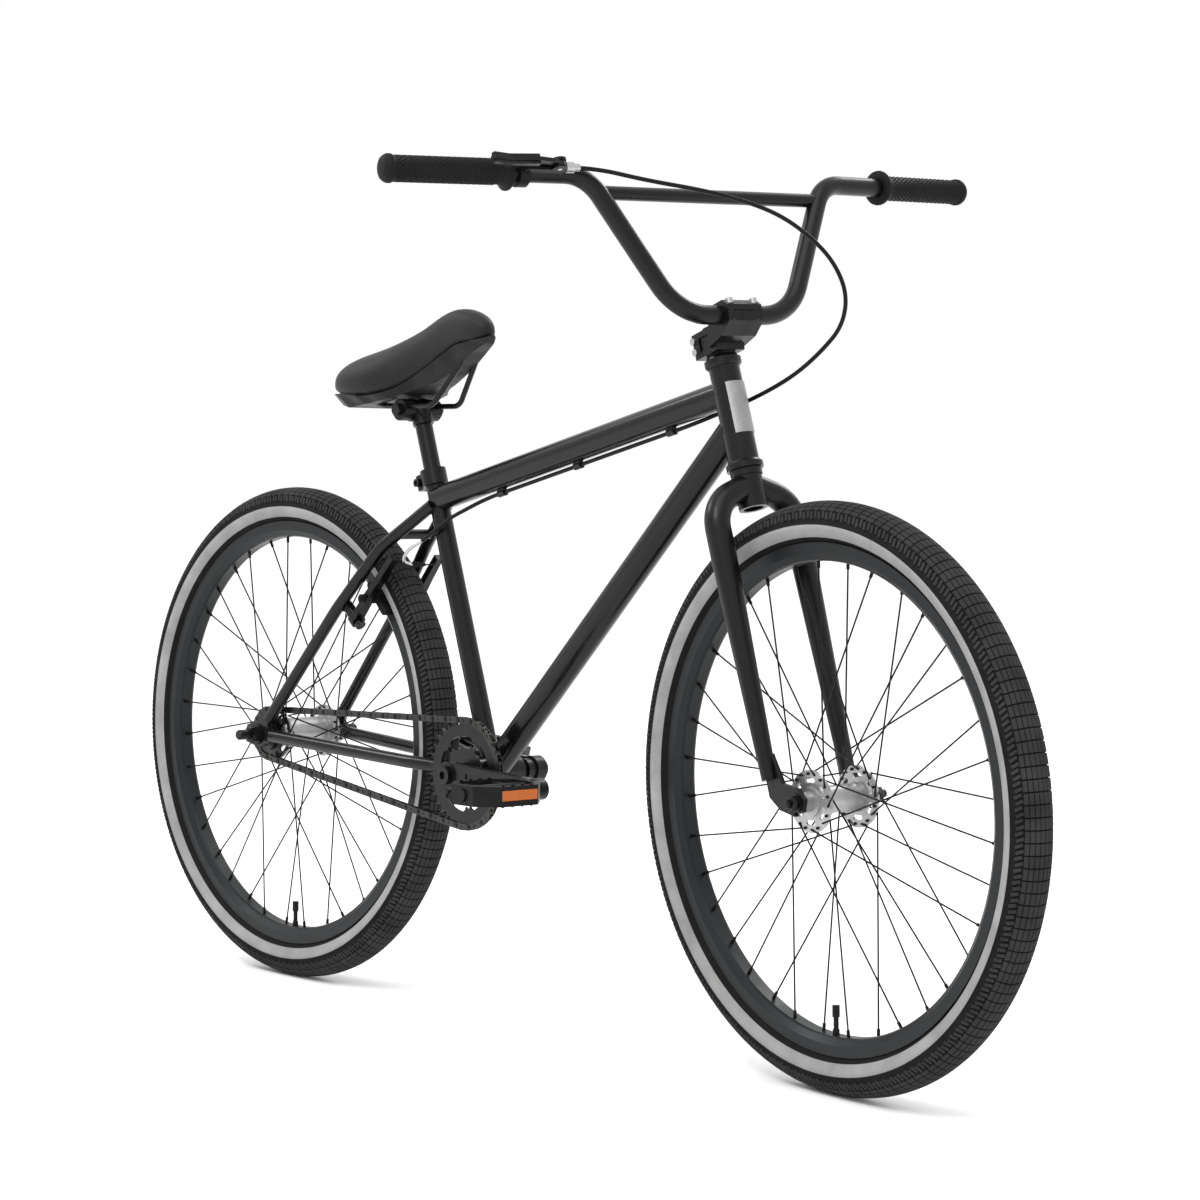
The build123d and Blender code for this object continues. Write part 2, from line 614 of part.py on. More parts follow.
STAY_ANGLE = 48.4
STAY_UP = Vector(cos(radians(STAY_ANGLE)), 0, sin(radians(STAY_ANGLE)))
STAY_FRONT = Vector(sin(radians(STAY_ANGLE)), 0, -cos(radians(STAY_ANGLE)))
STAY_BEND = 342.0


def stay_point(travel, spread, front=0.0):
    """A point beside the seatstays: up from the axle, out from the middle and forward."""
    return REAR_AXLE + STAY_UP * travel + STAY_FRONT * front + Vector(0, spread, 0)


SEATSTAY_ON_SEAT = 351.0


def seatstay_points():
    """The left seatstay's centre line, from the seat tube to the dropout."""
    top = seat_point(SEATSTAY_ON_SEAT) + Vector(0, 12.0, 0)
    return [top, stay_point(STAY_BEND, 37.0), stay_point(232, 51.5), stay_point(27, STAY_SPREAD)]


def make_stays():
    """Both chainstays and both seatstays, cut to fit the seat tube and the shell."""
    shell_cutter = drum(BB.X, BB.Z, -60, 60, BB_SHELL_RADIUS + JOINT_GAP)
    seat_cutter = rod(BB, seat_point(SEAT_TUBE_LENGTH), SEAT_TUBE_RADIUS + JOINT_GAP)
    chainstay = bent_rod(chainstay_points(), [120, 120], CHAINSTAY_RADIUS) - shell_cutter
    seatstay = bent_rod(seatstay_points(), [80, 200], SEATSTAY_RADIUS) - seat_cutter
    top_cutter = rod(
        seat_point(TOP_TUBE_ON_SEAT), steer_point(FORK_LENGTH + TOP_TUBE_ON_HEAD), TOP_TUBE_RADIUS + JOINT_GAP
    )
    left_chainstay = largest(chainstay)
    left_seatstay = largest(seatstay - top_cutter)
    return left_chainstay, left_seatstay


def make_dropouts():
    """Rear-facing forged plates that join the stays and hold the axle."""
    inner = REAR_HALF_SPACING
    axle = (REAR_AXLE.X, REAR_AXLE.Z)
    chain_end = chainstay_points()[-1]
    stay_end = seatstay_points()[-1]
    outline = [
        (axle[0] - 24, axle[1] + 11), (axle[0] - 24, axle[1] - 12), (axle[0] + 4, axle[1] - 18),
        (chain_end.X + 4, chain_end.Z - 7), (chain_end.X + 4, chain_end.Z + 7), (axle[0] + 22, axle[1] + 14),
        (stay_end.X + 8, stay_end.Z + 2), (stay_end.X - 6, stay_end.Z + 10), (axle[0] - 2, axle[1] + 17),
    ]
    middle = inner + DROPOUT_THICKNESS / 2
    shape = Pos(0, middle, 0) * plate(Plane.XZ, outline, DROPOUT_THICKNESS)
    shape -= drum(axle[0], axle[1], inner - 1, inner + DROPOUT_THICKNESS + 1, REAR_AXLE_RADIUS + JOINT_GAP)
    slot = Pos(axle[0] - 20, middle, axle[1]) * Box(40, DROPOUT_THICKNESS + 2, 2 * REAR_AXLE_RADIUS - 0.1)
    shape -= slot
    return shape


BRIDGE_TRAVEL = 369.8
BRIDGE_RADIUS = 6.5


def make_bridges(chainstay, seatstay):
    """The tubes across the seatstays above the tyre and across the chainstays ahead of it."""
    top, bend = seatstay_points()[0], seatstay_points()[1]
    upper = between(bend, top, 0.32)
    over = rod((upper.X, -40, upper.Z), (upper.X, 40, upper.Z), BRIDGE_RADIUS)
    bottom = chainstay_points()[1]
    under = rod((bottom.X + 16, -32, bottom.Z), (bottom.X + 16, 32, bottom.Z), BRIDGE_RADIUS)
    cut_over = over - seatstay - mirrored(seatstay)
    cut_under = under - chainstay - mirrored(chainstay)
    return [middle_solid(cut_over), middle_solid(cut_under)]


def middle_solid(shape):
    """The piece of a cut bar that crosses the middle of the bicycle."""
    return min(shape.solids(), key=lambda solid: abs(solid.center().Y) - solid.volume * 1e-4)


# ---------------------------------------------------------------- headset, collar, guides, badge
CUP_RADIUS = 21.5
CUP_HEIGHT = 9.5
STEERER_RADIUS = 14.3


def make_headset_cups():
    """The upper and lower bearing cups, pressed on the ends of the head tube."""
    cups = []
    for start, step in ((HEAD_TOP, 1), (FORK_LENGTH, -1)):
        low = steer_point(start + step * JOINT_GAP)
        mid = steer_point(start + step * 3.0)
        high = steer_point(start + step * CUP_HEIGHT)
        cup = rod(low, mid, HEAD_TUBE_RADIUS + 1.0, CUP_RADIUS) + rod(mid, high, CUP_RADIUS)
        cup -= rod(steer_point(start - step), steer_point(start + step * 20), STEERER_RADIUS + 1.2)
        cups.append(cup)
    return cups


def make_seat_collar():
    """The clamp round the top of the seat tube, with its bolt behind."""
    low = SEAT_TUBE_LENGTH - 21.0
    high = SEAT_TUBE_LENGTH
    ring = rod(seat_point(low), seat_point(high), SEAT_TUBE_RADIUS + 4.0)
    ears = SEAT.location * Pos(-SEAT_TUBE_RADIUS - 7.0, 0, (low + high) / 2) * Box(13, 16, 20)
    collar = ring + ears
    collar -= rod(seat_point(low - 1), seat_point(high + 1), SEAT_TUBE_RADIUS + JOINT_GAP)
    collar -= SEAT.location * Pos(-SEAT_TUBE_RADIUS - 8.0, 0, (low + high) / 2) * Box(17, 2.4, 30)
    bolt_spot = SEAT.location * Pos(-SEAT_TUBE_RADIUS - 8.5, 0, (low + high) / 2) * Rot(90, 0, 0)
    bolt = bolt_spot * Cylinder(3.0, 27) + bolt_spot * Pos(0, 0, 11.2) * Cylinder(5.2, 6.0)
    bolt -= bolt_spot * Pos(0, 0, 13.4) * Cylinder(2.4, 4.0)
    collar -= bolt_spot * Cylinder(3.0 + JOINT_GAP, 40)
    return [collar, bolt]


def top_tube_below(share, drop):
    """A point under the top tube, part of the way from the seat tube to the head tube."""
    low = seat_point(TOP_TUBE_ON_SEAT)
    high = steer_point(FORK_LENGTH + TOP_TUBE_ON_HEAD)
    spot = between(low, high, share)
    along = (high - low).normalized()
    down = Vector(along.Z, 0, -along.X)
    return spot + down * drop


CABLE_RADIUS = 2.5
NOODLE_RADIUS = 2.2
CABLE_DROP = TOP_TUBE_RADIUS + 4.3
GUIDE_SHARES = (0.23, 0.50, 0.81)


def make_cable_guides():
    """Small clips under the top tube that hold the brake housing."""
    guides = []
    low = seat_point(TOP_TUBE_ON_SEAT)
    high = steer_point(FORK_LENGTH + TOP_TUBE_ON_HEAD)
    along = (high - low).normalized()
    for share in GUIDE_SHARES:
        centre = top_tube_below(share, CABLE_DROP)
        block = rod(centre - along * 6, centre + along * 6, CABLE_RADIUS + 2.2)
        root = top_tube_below(share, TOP_TUBE_RADIUS - 1.0)
        saddle = rod(root - along * 6 + Vector(0, 0, -0.6), root + along * 6 + Vector(0, 0, -0.6), 3.2)
        guide = block + saddle - rod(low, high, TOP_TUBE_RADIUS + JOINT_GAP)
        guide -= rod(centre - along * 9, centre + along * 9, CABLE_RADIUS + JOINT_GAP)
        guides.append(largest(guide))
    return guides


def make_head_badge():
    """A blank curved plate on the front of the head tube."""
    low = FORK_LENGTH + 31.0
    high = FORK_LENGTH + 92.0
    outer = rod(steer_point(low), steer_point(high), HEAD_TUBE_RADIUS + 1.2)
    outer -= rod(steer_point(low - 1), steer_point(high + 1), HEAD_TUBE_RADIUS + JOINT_GAP)
    front = STEER.location * Pos(HEAD_TUBE_RADIUS, 0, (low + high) / 2) * Box(12.5, 40, 80)
    return outer & front


def make_bottom_bracket_cups():
    """The threaded cups whose bearings carry the spindle."""
    cups = []
    for side in (-1, 1):
        face = side * (BB_SHELL_HALF_WIDTH + JOINT_GAP)
        low, high = sorted((face, side * (BB_SHELL_HALF_WIDTH + 4.0)))
        rim = drum(BB.X, BB.Z, low, high, BB_SHELL_RADIUS - 0.5)
        low, high = sorted((side * (BB_SHELL_HALF_WIDTH - 12.0), side * (BB_SHELL_HALF_WIDTH + 3.0)))
        body = drum(BB.X, BB.Z, low, high, BB_SHELL_RADIUS - 3.0 - JOINT_GAP)
        cup = rim + body - drum(BB.X, BB.Z, -80, 80, SPINDLE_RADIUS + RUNNING_FIT)
        cups.append(cup)
    return cups


# ---------------------------------------------------------------- axles
def hex_nut(x, z, y_low, y_high, across, bore):
    """A six-sided nut on an axle that lies across the bicycle."""
    blank = extrude(RegularPolygon(across / 2, 6, major_radius=False), amount=y_high - y_low)
    return Pos(x, y_high, z) * Rot(90, 0, 0) * blank - drum(x, z, y_low - 1, y_high + 1, bore)


def make_rear_axle():
    """The rear axle and its two flanged nuts."""
    x, z = REAR_AXLE.X, REAR_AXLE.Z
    axle = drum(x, z, -AXLE_TIP_START, AXLE_TIP_START, REAR_AXLE_RADIUS)
    for side in (-1, 1):
        tip = Vector(x, side * REAR_AXLE_HALF_LENGTH, z)
        neck = tip - Vector(0, side * 2.0, 0)
        axle += rod((x, side * (AXLE_TIP_START - 1.0), z), neck, REAR_AXLE_TIP_RADIUS)
        axle += rod(neck, tip, REAR_AXLE_TIP_RADIUS, REAR_AXLE_TIP_RADIUS - 1.6)
    nuts = []
    for side in (-1, 1):
        start = REAR_HALF_SPACING + DROPOUT_THICKNESS + JOINT_GAP
        seat = start + REAR_WASHER_THICKNESS
        low, high = sorted((side * start, side * seat))
        washer = drum(x, z, low, high, 13.5)
        low, high = sorted((side * seat, side * (seat + REAR_NUT_HEIGHT)))
        nut = hex_nut(x, z, low, high, 19.0, REAR_AXLE_RADIUS)
        nuts.append((washer + nut) - drum(x, z, -200, 200, REAR_AXLE_RADIUS + JOINT_GAP))
    for side in (-1, 1):
        low, high = sorted((side * (REAR_HALF_SPACING - JOINT_GAP), side * (REAR_HALF_SPACING - 5.0)))
        cone = drum(x, z, low, high, 9.6) - drum(x, z, -200, 200, REAR_AXLE_RADIUS + JOINT_GAP)
        nuts.append(cone)
    return axle, nuts


def make_front_axle():
    """The front axle and its nuts, in the steering plane."""
    axle = STEER.location * Pos(FORK_OFFSET, 0, 0) * Rot(90, 0, 0)
    bar = axle * Cylinder(FRONT_AXLE_RADIUS, 2 * FRONT_AXLE_HALF_LENGTH)
    nuts = []
    start = FRONT_HALF_SPACING + DROPOUT_THICKNESS + JOINT_GAP
    for side in (-1, 1):
        spot = axle * Pos(0, 0, side * (start + 1.0))
        washer = spot * Cylinder(10.5, 2.0)
        blank = extrude(RegularPolygon(7.5, 6, major_radius=False), amount=4.25, both=True)
        nut = axle * Pos(0, 0, side * (start + 6.2)) * blank
        nuts.append((washer + nut) - axle * Cylinder(FRONT_AXLE_RADIUS + JOINT_GAP, 200))
    return bar, nuts


# ---------------------------------------------------------------- fork and steering
LEG_RADIUS = 15.0
LEG_TIP_RADIUS = 9.0
LEG_SPREAD = 57.0
LEG_TOP = 373.0
LEG_KNEE_SHARE = 0.18
LEG_END = 34.0
STEERER_LOW = 346.0
CROWN_RADIUS = 17.0
CROWN_TOP = FORK_LENGTH - CUP_HEIGHT - 7.0
RACE_TOP = FORK_LENGTH - CUP_HEIGHT - BODY_GAP
CAP_LOW = HEAD_TOP + CUP_HEIGHT + BODY_GAP
STEM_LOW = HEAD_TOP + 16.0
STEM_HEIGHT = 30.0
STEERER_TOP = STEM_LOW + STEM_HEIGHT - 3.0


def make_steerer():
    """The fork's steerer tube with its thicker crown and the crown race."""
    tube = rod(steer_point(STEERER_LOW), steer_point(STEERER_TOP), STEERER_RADIUS)
    crown = rod(steer_point(STEERER_LOW), steer_point(CROWN_TOP), CROWN_RADIUS)
    race = rod(steer_point(CROWN_TOP - 1.0), steer_point(RACE_TOP), 18.5)
    bore = rod(steer_point(STEERER_LOW - 1), steer_point(STEERER_TOP + 1), STEERER_RADIUS - 2.5)
    return tube + crown + race - bore


def make_fork_leg():
    """The left leg: it leaves the crown sideways, bends down and tapers to its tip."""
    corner = steer_point(LEG_TOP - 20.0, 0, LEG_SPREAD)
    tip = steer_point(LEG_END, -2.0, LEG_SPREAD)
    knee = between(corner, tip, LEG_KNEE_SHARE)
    bend = bent_rod([steer_point(LEG_TOP, 0, 4.0), corner, knee], [42.0], LEG_RADIUS)
    bend -= rod(steer_point(STEERER_LOW - 40), steer_point(CROWN_TOP + 20), CROWN_RADIUS + JOINT_GAP)
    return largest(bend) + rod(knee, tip, LEG_RADIUS, LEG_TIP_RADIUS)


def make_fork_dropout(leg):
    """The plate at the left leg's tip, with an open slot for the axle."""
    inner = FRONT_HALF_SPACING
    plane = Plane(origin=STEER_FOOT, x_dir=STEER.x_dir, z_dir=(0, -1, 0))
    outline = [
        (-9, 62), (7, 62), (16, 26), (40, 14), (47, 0), (40, -12), (26, -14), (4, -2), (-10, 16),
    ]
    shape = Pos(0, inner + DROPOUT_THICKNESS / 2, 0) * plate(plane, outline, DROPOUT_THICKNESS)
    axle = STEER.location * Pos(FORK_OFFSET, 0, 0) * Rot(90, 0, 0)
    shape -= axle * Cylinder(FRONT_AXLE_RADIUS + JOINT_GAP, 300)
    slot = STEER.location * Pos(FORK_OFFSET - 2.0, inner + 3, -12) * Box(2 * FRONT_AXLE_RADIUS, 20, 22)
    return largest(shape - slot - leg)


CLAMP_HEIGHT = STEM_LOW + 34.0
CLAMP_HALF_WIDTH = 25.0
CLAMP_RADIUS = 18.5


def steering_profile(points, half_width):
    """A block across the bicycle with this side profile in the steering plane."""
    plane = Plane(origin=STEER_FOOT, x_dir=STEER.x_dir, z_dir=(0, -1, 0))
    return plate(plane, points, 2 * half_width)


def make_stem():
    """The top-load stem: a lower body, a cap over the bar and its bolts."""
    low, mid = STEM_LOW, CLAMP_HEIGHT
    reach = STEM_REACH
    rear = steering_profile(
        [(-22, low), (19, low), (reach - 14, mid - 12), (reach - 14, mid - 2), (16, low + STEM_HEIGHT),
         (-22, low + STEM_HEIGHT)], 20.0,
    )
    front = steering_profile(
        [(10, low + 5), (reach - 2, low + 10), (reach + 17, mid - 12), (reach + CLAMP_RADIUS, mid - 0.4),
         (reach - CLAMP_RADIUS, mid - 0.4), (14, low + 24)], CLAMP_HALF_WIDTH,
    )
    pocket = steering_profile([(-11, low + 7), (8, low + 7), (8, low + 23), (-11, low + 23)], 3.0)
    body = rear + front
    for side in (-1, 1):
        body -= Pos(0, side * 21.0, 0) * pocket
    bar_space = bar_clamp_drum(BAR_RADIUS + JOINT_GAP, 2 * CLAMP_HALF_WIDTH + 10)
    steerer_space = rod(steer_point(low - 5), steer_point(low + STEM_HEIGHT + 20), STEERER_RADIUS + JOINT_GAP)
    relief = steering_profile([(-30, low - 5), (-10, low - 5), (-10, low + 50), (-30, low + 50)], 1.2)
    body = body - bar_space - steerer_space - relief
    cap = steering_profile(
        [(reach - CLAMP_RADIUS, mid + 0.4), (reach + CLAMP_RADIUS, mid + 0.4), (reach + CLAMP_RADIUS, mid + 7),
         (reach + 11, mid + 14.5), (reach - 11, mid + 14.5), (reach - CLAMP_RADIUS, mid + 7)], CLAMP_HALF_WIDTH,
    )
    cap -= bar_space
    bolts = []
    for forward in (-14.6, 14.6):
        for left in (-17.5, 17.5):
            foot = steer_point(mid - 11, reach + forward, left)
            neck = steer_point(mid + 9, reach + forward, left)
            head = steer_point(mid + 15, reach + forward, left)
            bolt = rod(foot, neck, 2.6) + rod(neck, head, 4.4)
            bolt -= rod(steer_point(mid + 12, reach + forward, left), steer_point(mid + 16, reach + forward, left), 2.2)
            bolts.append(bolt)
    for up in (8.5, 21.5):
        right = steer_point(low + up, -17.3, -24.5)
        inner = steer_point(low + up, -17.3, -19.0)
        left = steer_point(low + up, -17.3, 14.0)
        bolt = rod(right, inner, 4.2) + rod(inner, left, 2.5)
        bolts.append(bolt)
    for bolt in bolts:
        body = body - bolt
        cap = cap - bolt
    return largest(body), largest(cap), bolts


def bar_clamp_drum(radius, length):
    """A cylinder along the handlebar's clamped middle."""
    spot = STEER.location * Pos(STEM_REACH, 0, CLAMP_HEIGHT) * Rot(90, 0, 0)
    return spot * Cylinder(radius, length)


def make_top_cap():
    """The upper bearing cover, a spacer and the compression cap with its bolt."""
    cover = rod(steer_point(CAP_LOW), steer_point(STEM_LOW - 2.0), 19.5, 17.5)
    spacer = rod(steer_point(STEM_LOW - 2.0), steer_point(STEM_LOW - JOINT_GAP), 17.0)
    bore = rod(steer_point(CAP_LOW - 1), steer_point(STEM_LOW + 1), STEERER_RADIUS + JOINT_GAP)
    lower = cover + spacer - bore
    top = STEM_LOW + STEM_HEIGHT
    cap = rod(steer_point(top + JOINT_GAP), steer_point(top + 3.0), 16.0)
    bolt = rod(steer_point(top - 14), steer_point(top + 5.0), 4.5)
    cap_and_bolt = cap + bolt
    cap_and_bolt -= rod(steer_point(top + 2.5), steer_point(top + 6), 2.6)
    return [lower, cap_and_bolt]


BAR_KNEE = 82.0
BAR_SHOULDER = 172.0
BAR_SWEEP = 28.3
BAR_UPSWEEP = 9.8
CROSSBAR_HEIGHT = 144.0
CROSSBAR_RADIUS = 8.0


def bar_points():
    """The left half of the handlebar, from the stem to its end."""
    reach, height = STEM_REACH, CLAMP_HEIGHT
    return [
        steer_point(height, reach, 0), steer_point(height, reach, BAR_KNEE),
        steer_point(height + BAR_RISE, reach, BAR_SHOULDER),
        steer_point(height + BAR_RISE + BAR_UPSWEEP, reach - BAR_SWEEP, BAR_HALF_WIDTH),
    ]


def make_handlebar():
    """The bent bar and the crossbar between its uprights."""
    right = [Vector(p.X, -p.Y, p.Z) for p in reversed(bar_points())]
    points = right[:-1] + bar_points()[1:]
    bar = bent_rod(points, [48.0, 70.0, 70.0, 48.0], BAR_RADIUS)
    share = CROSSBAR_HEIGHT / BAR_RISE
    reach = BAR_KNEE + (BAR_SHOULDER - BAR_KNEE) * share
    ends = [steer_point(CLAMP_HEIGHT + CROSSBAR_HEIGHT, STEM_REACH, side * reach) for side in (-1, 1)]
    crossbar = middle_solid(rod(ends[0], ends[1], CROSSBAR_RADIUS) - bar)
    return bar, crossbar


def bar_end_frame(side):
    """Where one end of the handlebar is, and the direction from there towards its middle."""
    points = bar_points()
    end, shoulder = points[-1], points[-2]
    inward = (shoulder - end).normalized()
    if side < 0:
        end = Vector(end.X, -end.Y, end.Z)
        inward = Vector(inward.X, -inward.Y, inward.Z)
    return end, inward


def make_grip(side):
    """A ribbed rubber grip with a flange at its inner end and a closed outer end."""
    end, inward = bar_end_frame(side)
    tip = end - inward * 3.5
    sleeve = rod(tip, end + inward * GRIP_LENGTH, GRIP_RADIUS)
    flange = rod(end + inward * (GRIP_LENGTH - 7.0), end + inward * GRIP_LENGTH, 21.0)
    lip = rod(end + inward * 3.0, end + inward * 8.0, GRIP_RADIUS + 1.2)
    grip = sleeve + flange + lip
    return grip - rod(end - inward * JOINT_GAP, end + inward * (GRIP_LENGTH + 1), BAR_RADIUS + JOINT_GAP)


# ---------------------------------------------------------------- brake lever
LEVER_START = GRIP_LENGTH + 8.0
LEVER_REACH = 27.0
LEVER_PIVOT_TRAVEL = 42.0
CLAMP_BOLT_DROP = 21.0


def lever_frame():
    """The brake lever's own plane: X inward along the bar, Y forward, Z up."""
    end, inward = bar_end_frame(-1)
    origin = end + inward * LEVER_START
    forward = Vector(HEAD_SIN, 0, HEAD_COS)
    forward = (forward - inward * forward.dot(inward)).normalized()
    return Plane(origin=origin, x_dir=inward, z_dir=inward.cross(forward))


def make_lever_bracket():
    """The clamp round the bar, the body that holds the pivot, and the pivot pin."""
    place = lever_frame().location
    clamp = place * Pos(6.0, 0, 0) * Rot(0, 90, 0) * Cylinder(16.5, 12.0)
    ear = place * Pos(6.0, -CLAMP_BOLT_DROP + 1.0, 0) * Box(10, 12, 12)
    arm = place * Pos(27.0, 18.5, 0) * Box(50, 12, 12)
    neck = place * Pos(9.0, 13.0, 0) * Box(14, 12, 12)
    cheeks = place * Pos(LEVER_PIVOT_TRAVEL, LEVER_REACH, 0) * Cylinder(8.5, 12)
    body = clamp + ear + arm + neck + cheeks
    slot = place * Pos(LEVER_PIVOT_TRAVEL - 9, LEVER_REACH + 3.5, 0) * Box(46, 24, LEVER_THICKNESS + 0.8)
    end, inward = bar_end_frame(-1)
    body -= rod(end, end + inward * 320, BAR_RADIUS + JOINT_GAP)
    body -= slot
    pin = place * Pos(LEVER_PIVOT_TRAVEL, LEVER_REACH, 0) * Cylinder(2.5, 13.0)
    body -= place * Pos(LEVER_PIVOT_TRAVEL, LEVER_REACH, 0) * Cylinder(2.5 + JOINT_GAP, 20)
    body -= place * Pos(6.0, -CLAMP_BOLT_DROP, 0) * Cylinder(2.5 + JOINT_GAP, 30)
    body -= place * Pos(6.0, -CLAMP_BOLT_DROP, 0) * Box(12, 22, 1.6)
    body -= place * Pos(54.0, 18.5, 0) * Rot(0, 90, 0) * Cylinder(3.4, 20)
    bolt = place * Pos(6.0, -CLAMP_BOLT_DROP, 0) * Cylinder(2.5, 15.0)
    bolt += place * Pos(6.0, -CLAMP_BOLT_DROP, -8.5) * Cylinder(4.0, 4.6)
    barrel = place * Pos(55.0, 18.5, 0) * Rot(0, 90, 0) * Cylinder(3.3, 16.0)
    barrel += place * Pos(58.5, 18.5, 0) * Rot(0, 90, 0) * Cylinder(6.4, 10.0)
    barrel += place * Pos(67.0, 18.5, 0) * Rot(0, 90, 0) * Cylinder(4.6, 8.0)
    barrel -= place * Pos(66.0, 18.5, 0) * Rot(0, 90, 0) * Cylinder(CABLE_RADIUS + JOINT_GAP, 12.0)
    return largest(body), [pin, bolt, barrel]


LEVER_THICKNESS = 5.0


def make_lever_blade():
    """The two-finger blade, curved outward to its ball end, on the pivot pin."""
    place = lever_frame().location
    pivot_x, pivot_y = LEVER_PIVOT_TRAVEL, LEVER_REACH
    hub = place * Pos(pivot_x, pivot_y, 0) * Cylinder(7.0, LEVER_THICKNESS)
    points = [
        (pivot_x + 2, pivot_y - 6.5), (pivot_x + 5, pivot_y + 4.5), (pivot_x - 10, pivot_y + 10.5),
        (pivot_x - 34, pivot_y + 15.0), (pivot_x - 66, pivot_y + 12.0), (pivot_x - 88, pivot_y + 16.5),
        (pivot_x - 89, pivot_y + 9.0), (pivot_x - 66, pivot_y + 3.5), (pivot_x - 34, pivot_y + 6.5),
        (pivot_x - 15, pivot_y + 2.0),
    ]
    blade = extrude(make_face(Polyline(*points, close=True)), amount=LEVER_THICKNESS / 2, both=True)
    pad = [
        (pivot_x - 30, pivot_y + 13.5), (pivot_x - 66, pivot_y + 11.0), (pivot_x - 87, pivot_y + 15.5),
        (pivot_x - 88, pivot_y + 10.0), (pivot_x - 66, pivot_y + 4.5), (pivot_x - 30, pivot_y + 7.0),
    ]
    wide = extrude(make_face(Polyline(*pad, close=True)), amount=6.0, both=True)
    lever = hub + place * blade + place * wide
    return lever - place * Pos(pivot_x, pivot_y, 0) * Cylinder(2.5 + RUNNING_FIT, 20)


# ---------------------------------------------------------------- rear brake
POST_TRAVEL = 242.0
PAD_TRAVEL = 279.0
ARM_TIP_TRAVEL = 347.0
POST_SPREAD = 40.0
POST_END = 38.0
ARM_LOW = 23.0
ARM_HIGH = 34.0
POST_RADIUS = 4.0


def make_brake_post():
    """The left post, brazed to the front of its seatstay, with the arm's bolt."""
    root = stay_point(POST_TRAVEL, POST_SPREAD + 6.0, 3.0)
    shoulder = stay_point(POST_TRAVEL, POST_SPREAD, ARM_LOW - BODY_GAP)
    tip = stay_point(POST_TRAVEL, POST_SPREAD, POST_END)
    start = stay_point(POST_TRAVEL, POST_SPREAD, 6.0)
    boss = rod(root, start + (start - root) * 0.2, 8.0) + rod(start, shoulder, 7.5)
    pin = rod(shoulder - STAY_FRONT, tip, POST_RADIUS)
    head = rod(tip - STAY_FRONT * 3.2, tip + STAY_FRONT * 3.0, 7.0)
    return boss + pin + head


def make_brake_arm():
    """The left brake arm: a boss on the post, a bent lever and the cable's anchor."""
    middle = (ARM_LOW + ARM_HIGH) / 2
    boss_low = stay_point(POST_TRAVEL, POST_SPREAD, ARM_LOW)
    boss_high = stay_point(POST_TRAVEL, POST_SPREAD, ARM_HIGH)
    plane = Plane(origin=stay_point(0, 0, middle), x_dir=(0, 1, 0), z_dir=STAY_FRONT)
    sign = 1 if plane.y_dir.dot(STAY_UP) > 0 else -1
    inner = [
        (POST_SPREAD - 7, POST_TRAVEL), (POST_SPREAD - 6, PAD_TRAVEL + 8), (POST_SPREAD - 7, PAD_TRAVEL + 30),
        (POST_SPREAD - 8, ARM_TIP_TRAVEL + 5),
    ]
    outer = [
        (POST_SPREAD + 2, ARM_TIP_TRAVEL + 5), (POST_SPREAD + 4, PAD_TRAVEL + 36), (POST_SPREAD + 7, PAD_TRAVEL + 4),
        (POST_SPREAD + 8, POST_TRAVEL),
    ]
    outline = [(spread, sign * travel) for spread, travel in inner + outer]
    blade = plate(plane, outline, ARM_HIGH - ARM_LOW - 2.0)
    boss = rod(boss_low, boss_high, 10.0)
    arm = boss + blade
    arm -= rod(stay_point(POST_TRAVEL, POST_SPREAD, 0), stay_point(POST_TRAVEL, POST_SPREAD, 60), POST_RADIUS + RUNNING_FIT)
    pad_bolt_space = rod(stay_point(PAD_TRAVEL, 10, middle), stay_point(PAD_TRAVEL, 90, middle), 3.0 + JOINT_GAP)
    return arm - pad_bolt_space


PAD_GAP = 1.6
PAD_THICKNESS = 10.0
PAD_HALF_LENGTH = 27.0


def make_brake_pad():
    """The left pad and its threaded stud, washers and nut."""
    middle = (ARM_LOW + ARM_HIGH) / 2
    inner = RIM_HALF_WIDTH + PAD_GAP
    centre = stay_point(PAD_TRAVEL, inner + PAD_THICKNESS / 2, middle)
    along_rim = STAY_FRONT * PAD_TRAVEL - STAY_UP * middle
    plane = Plane(origin=centre, x_dir=along_rim, z_dir=(0, 1, 0))
    block = SlotOverall(2 * PAD_HALF_LENGTH, 10.0)
    block = extrude(plane * block, amount=PAD_THICKNESS / 2, both=True)
    stud_start = stay_point(PAD_TRAVEL, inner + PAD_THICKNESS - 1.0, middle)
    stud = rod(stud_start, stay_point(PAD_TRAVEL, POST_SPREAD + 15.0, middle), 3.0)
    cup = rod(stay_point(PAD_TRAVEL, inner + PAD_THICKNESS, middle), stay_point(PAD_TRAVEL, POST_SPREAD - 7.0, middle), 6.5)
    nut = rod(stay_point(PAD_TRAVEL, POST_SPREAD + 7.3, middle), stay_point(PAD_TRAVEL, POST_SPREAD + 12.5, middle), 6.0)
    return block + stud + cup + nut


# ---------------------------------------------------------------- saddle
SEAT_CLAMP_TRAVEL = 477.0
POST_LOW = 250.0


def make_seatpost():
    """A plain steel post with a narrower neck at its top."""
    body = rod(seat_point(POST_LOW), seat_point(SEAT_CLAMP_TRAVEL - 20), SEATPOST_RADIUS)
    neck = rod(seat_point(SEAT_CLAMP_TRAVEL - 20), seat_point(SEAT_CLAMP_TRAVEL + 8), SEATPOST_RADIUS - 1.6)
    bore = rod(seat_point(POST_LOW - 1), seat_point(SEAT_CLAMP_TRAVEL - 30), SEATPOST_RADIUS - 1.8)
    return body + neck - bore


CLAMP_CENTRE = seat_point(SEAT_CLAMP_TRAVEL) + Vector(-7.0, 0, 2.0)
SADDLE_LIFT = 19.0
RAIL_SPREAD = 22.0
RAIL_RADIUS = 3.5
CLAMP_DRUM_RADIUS = 15.0


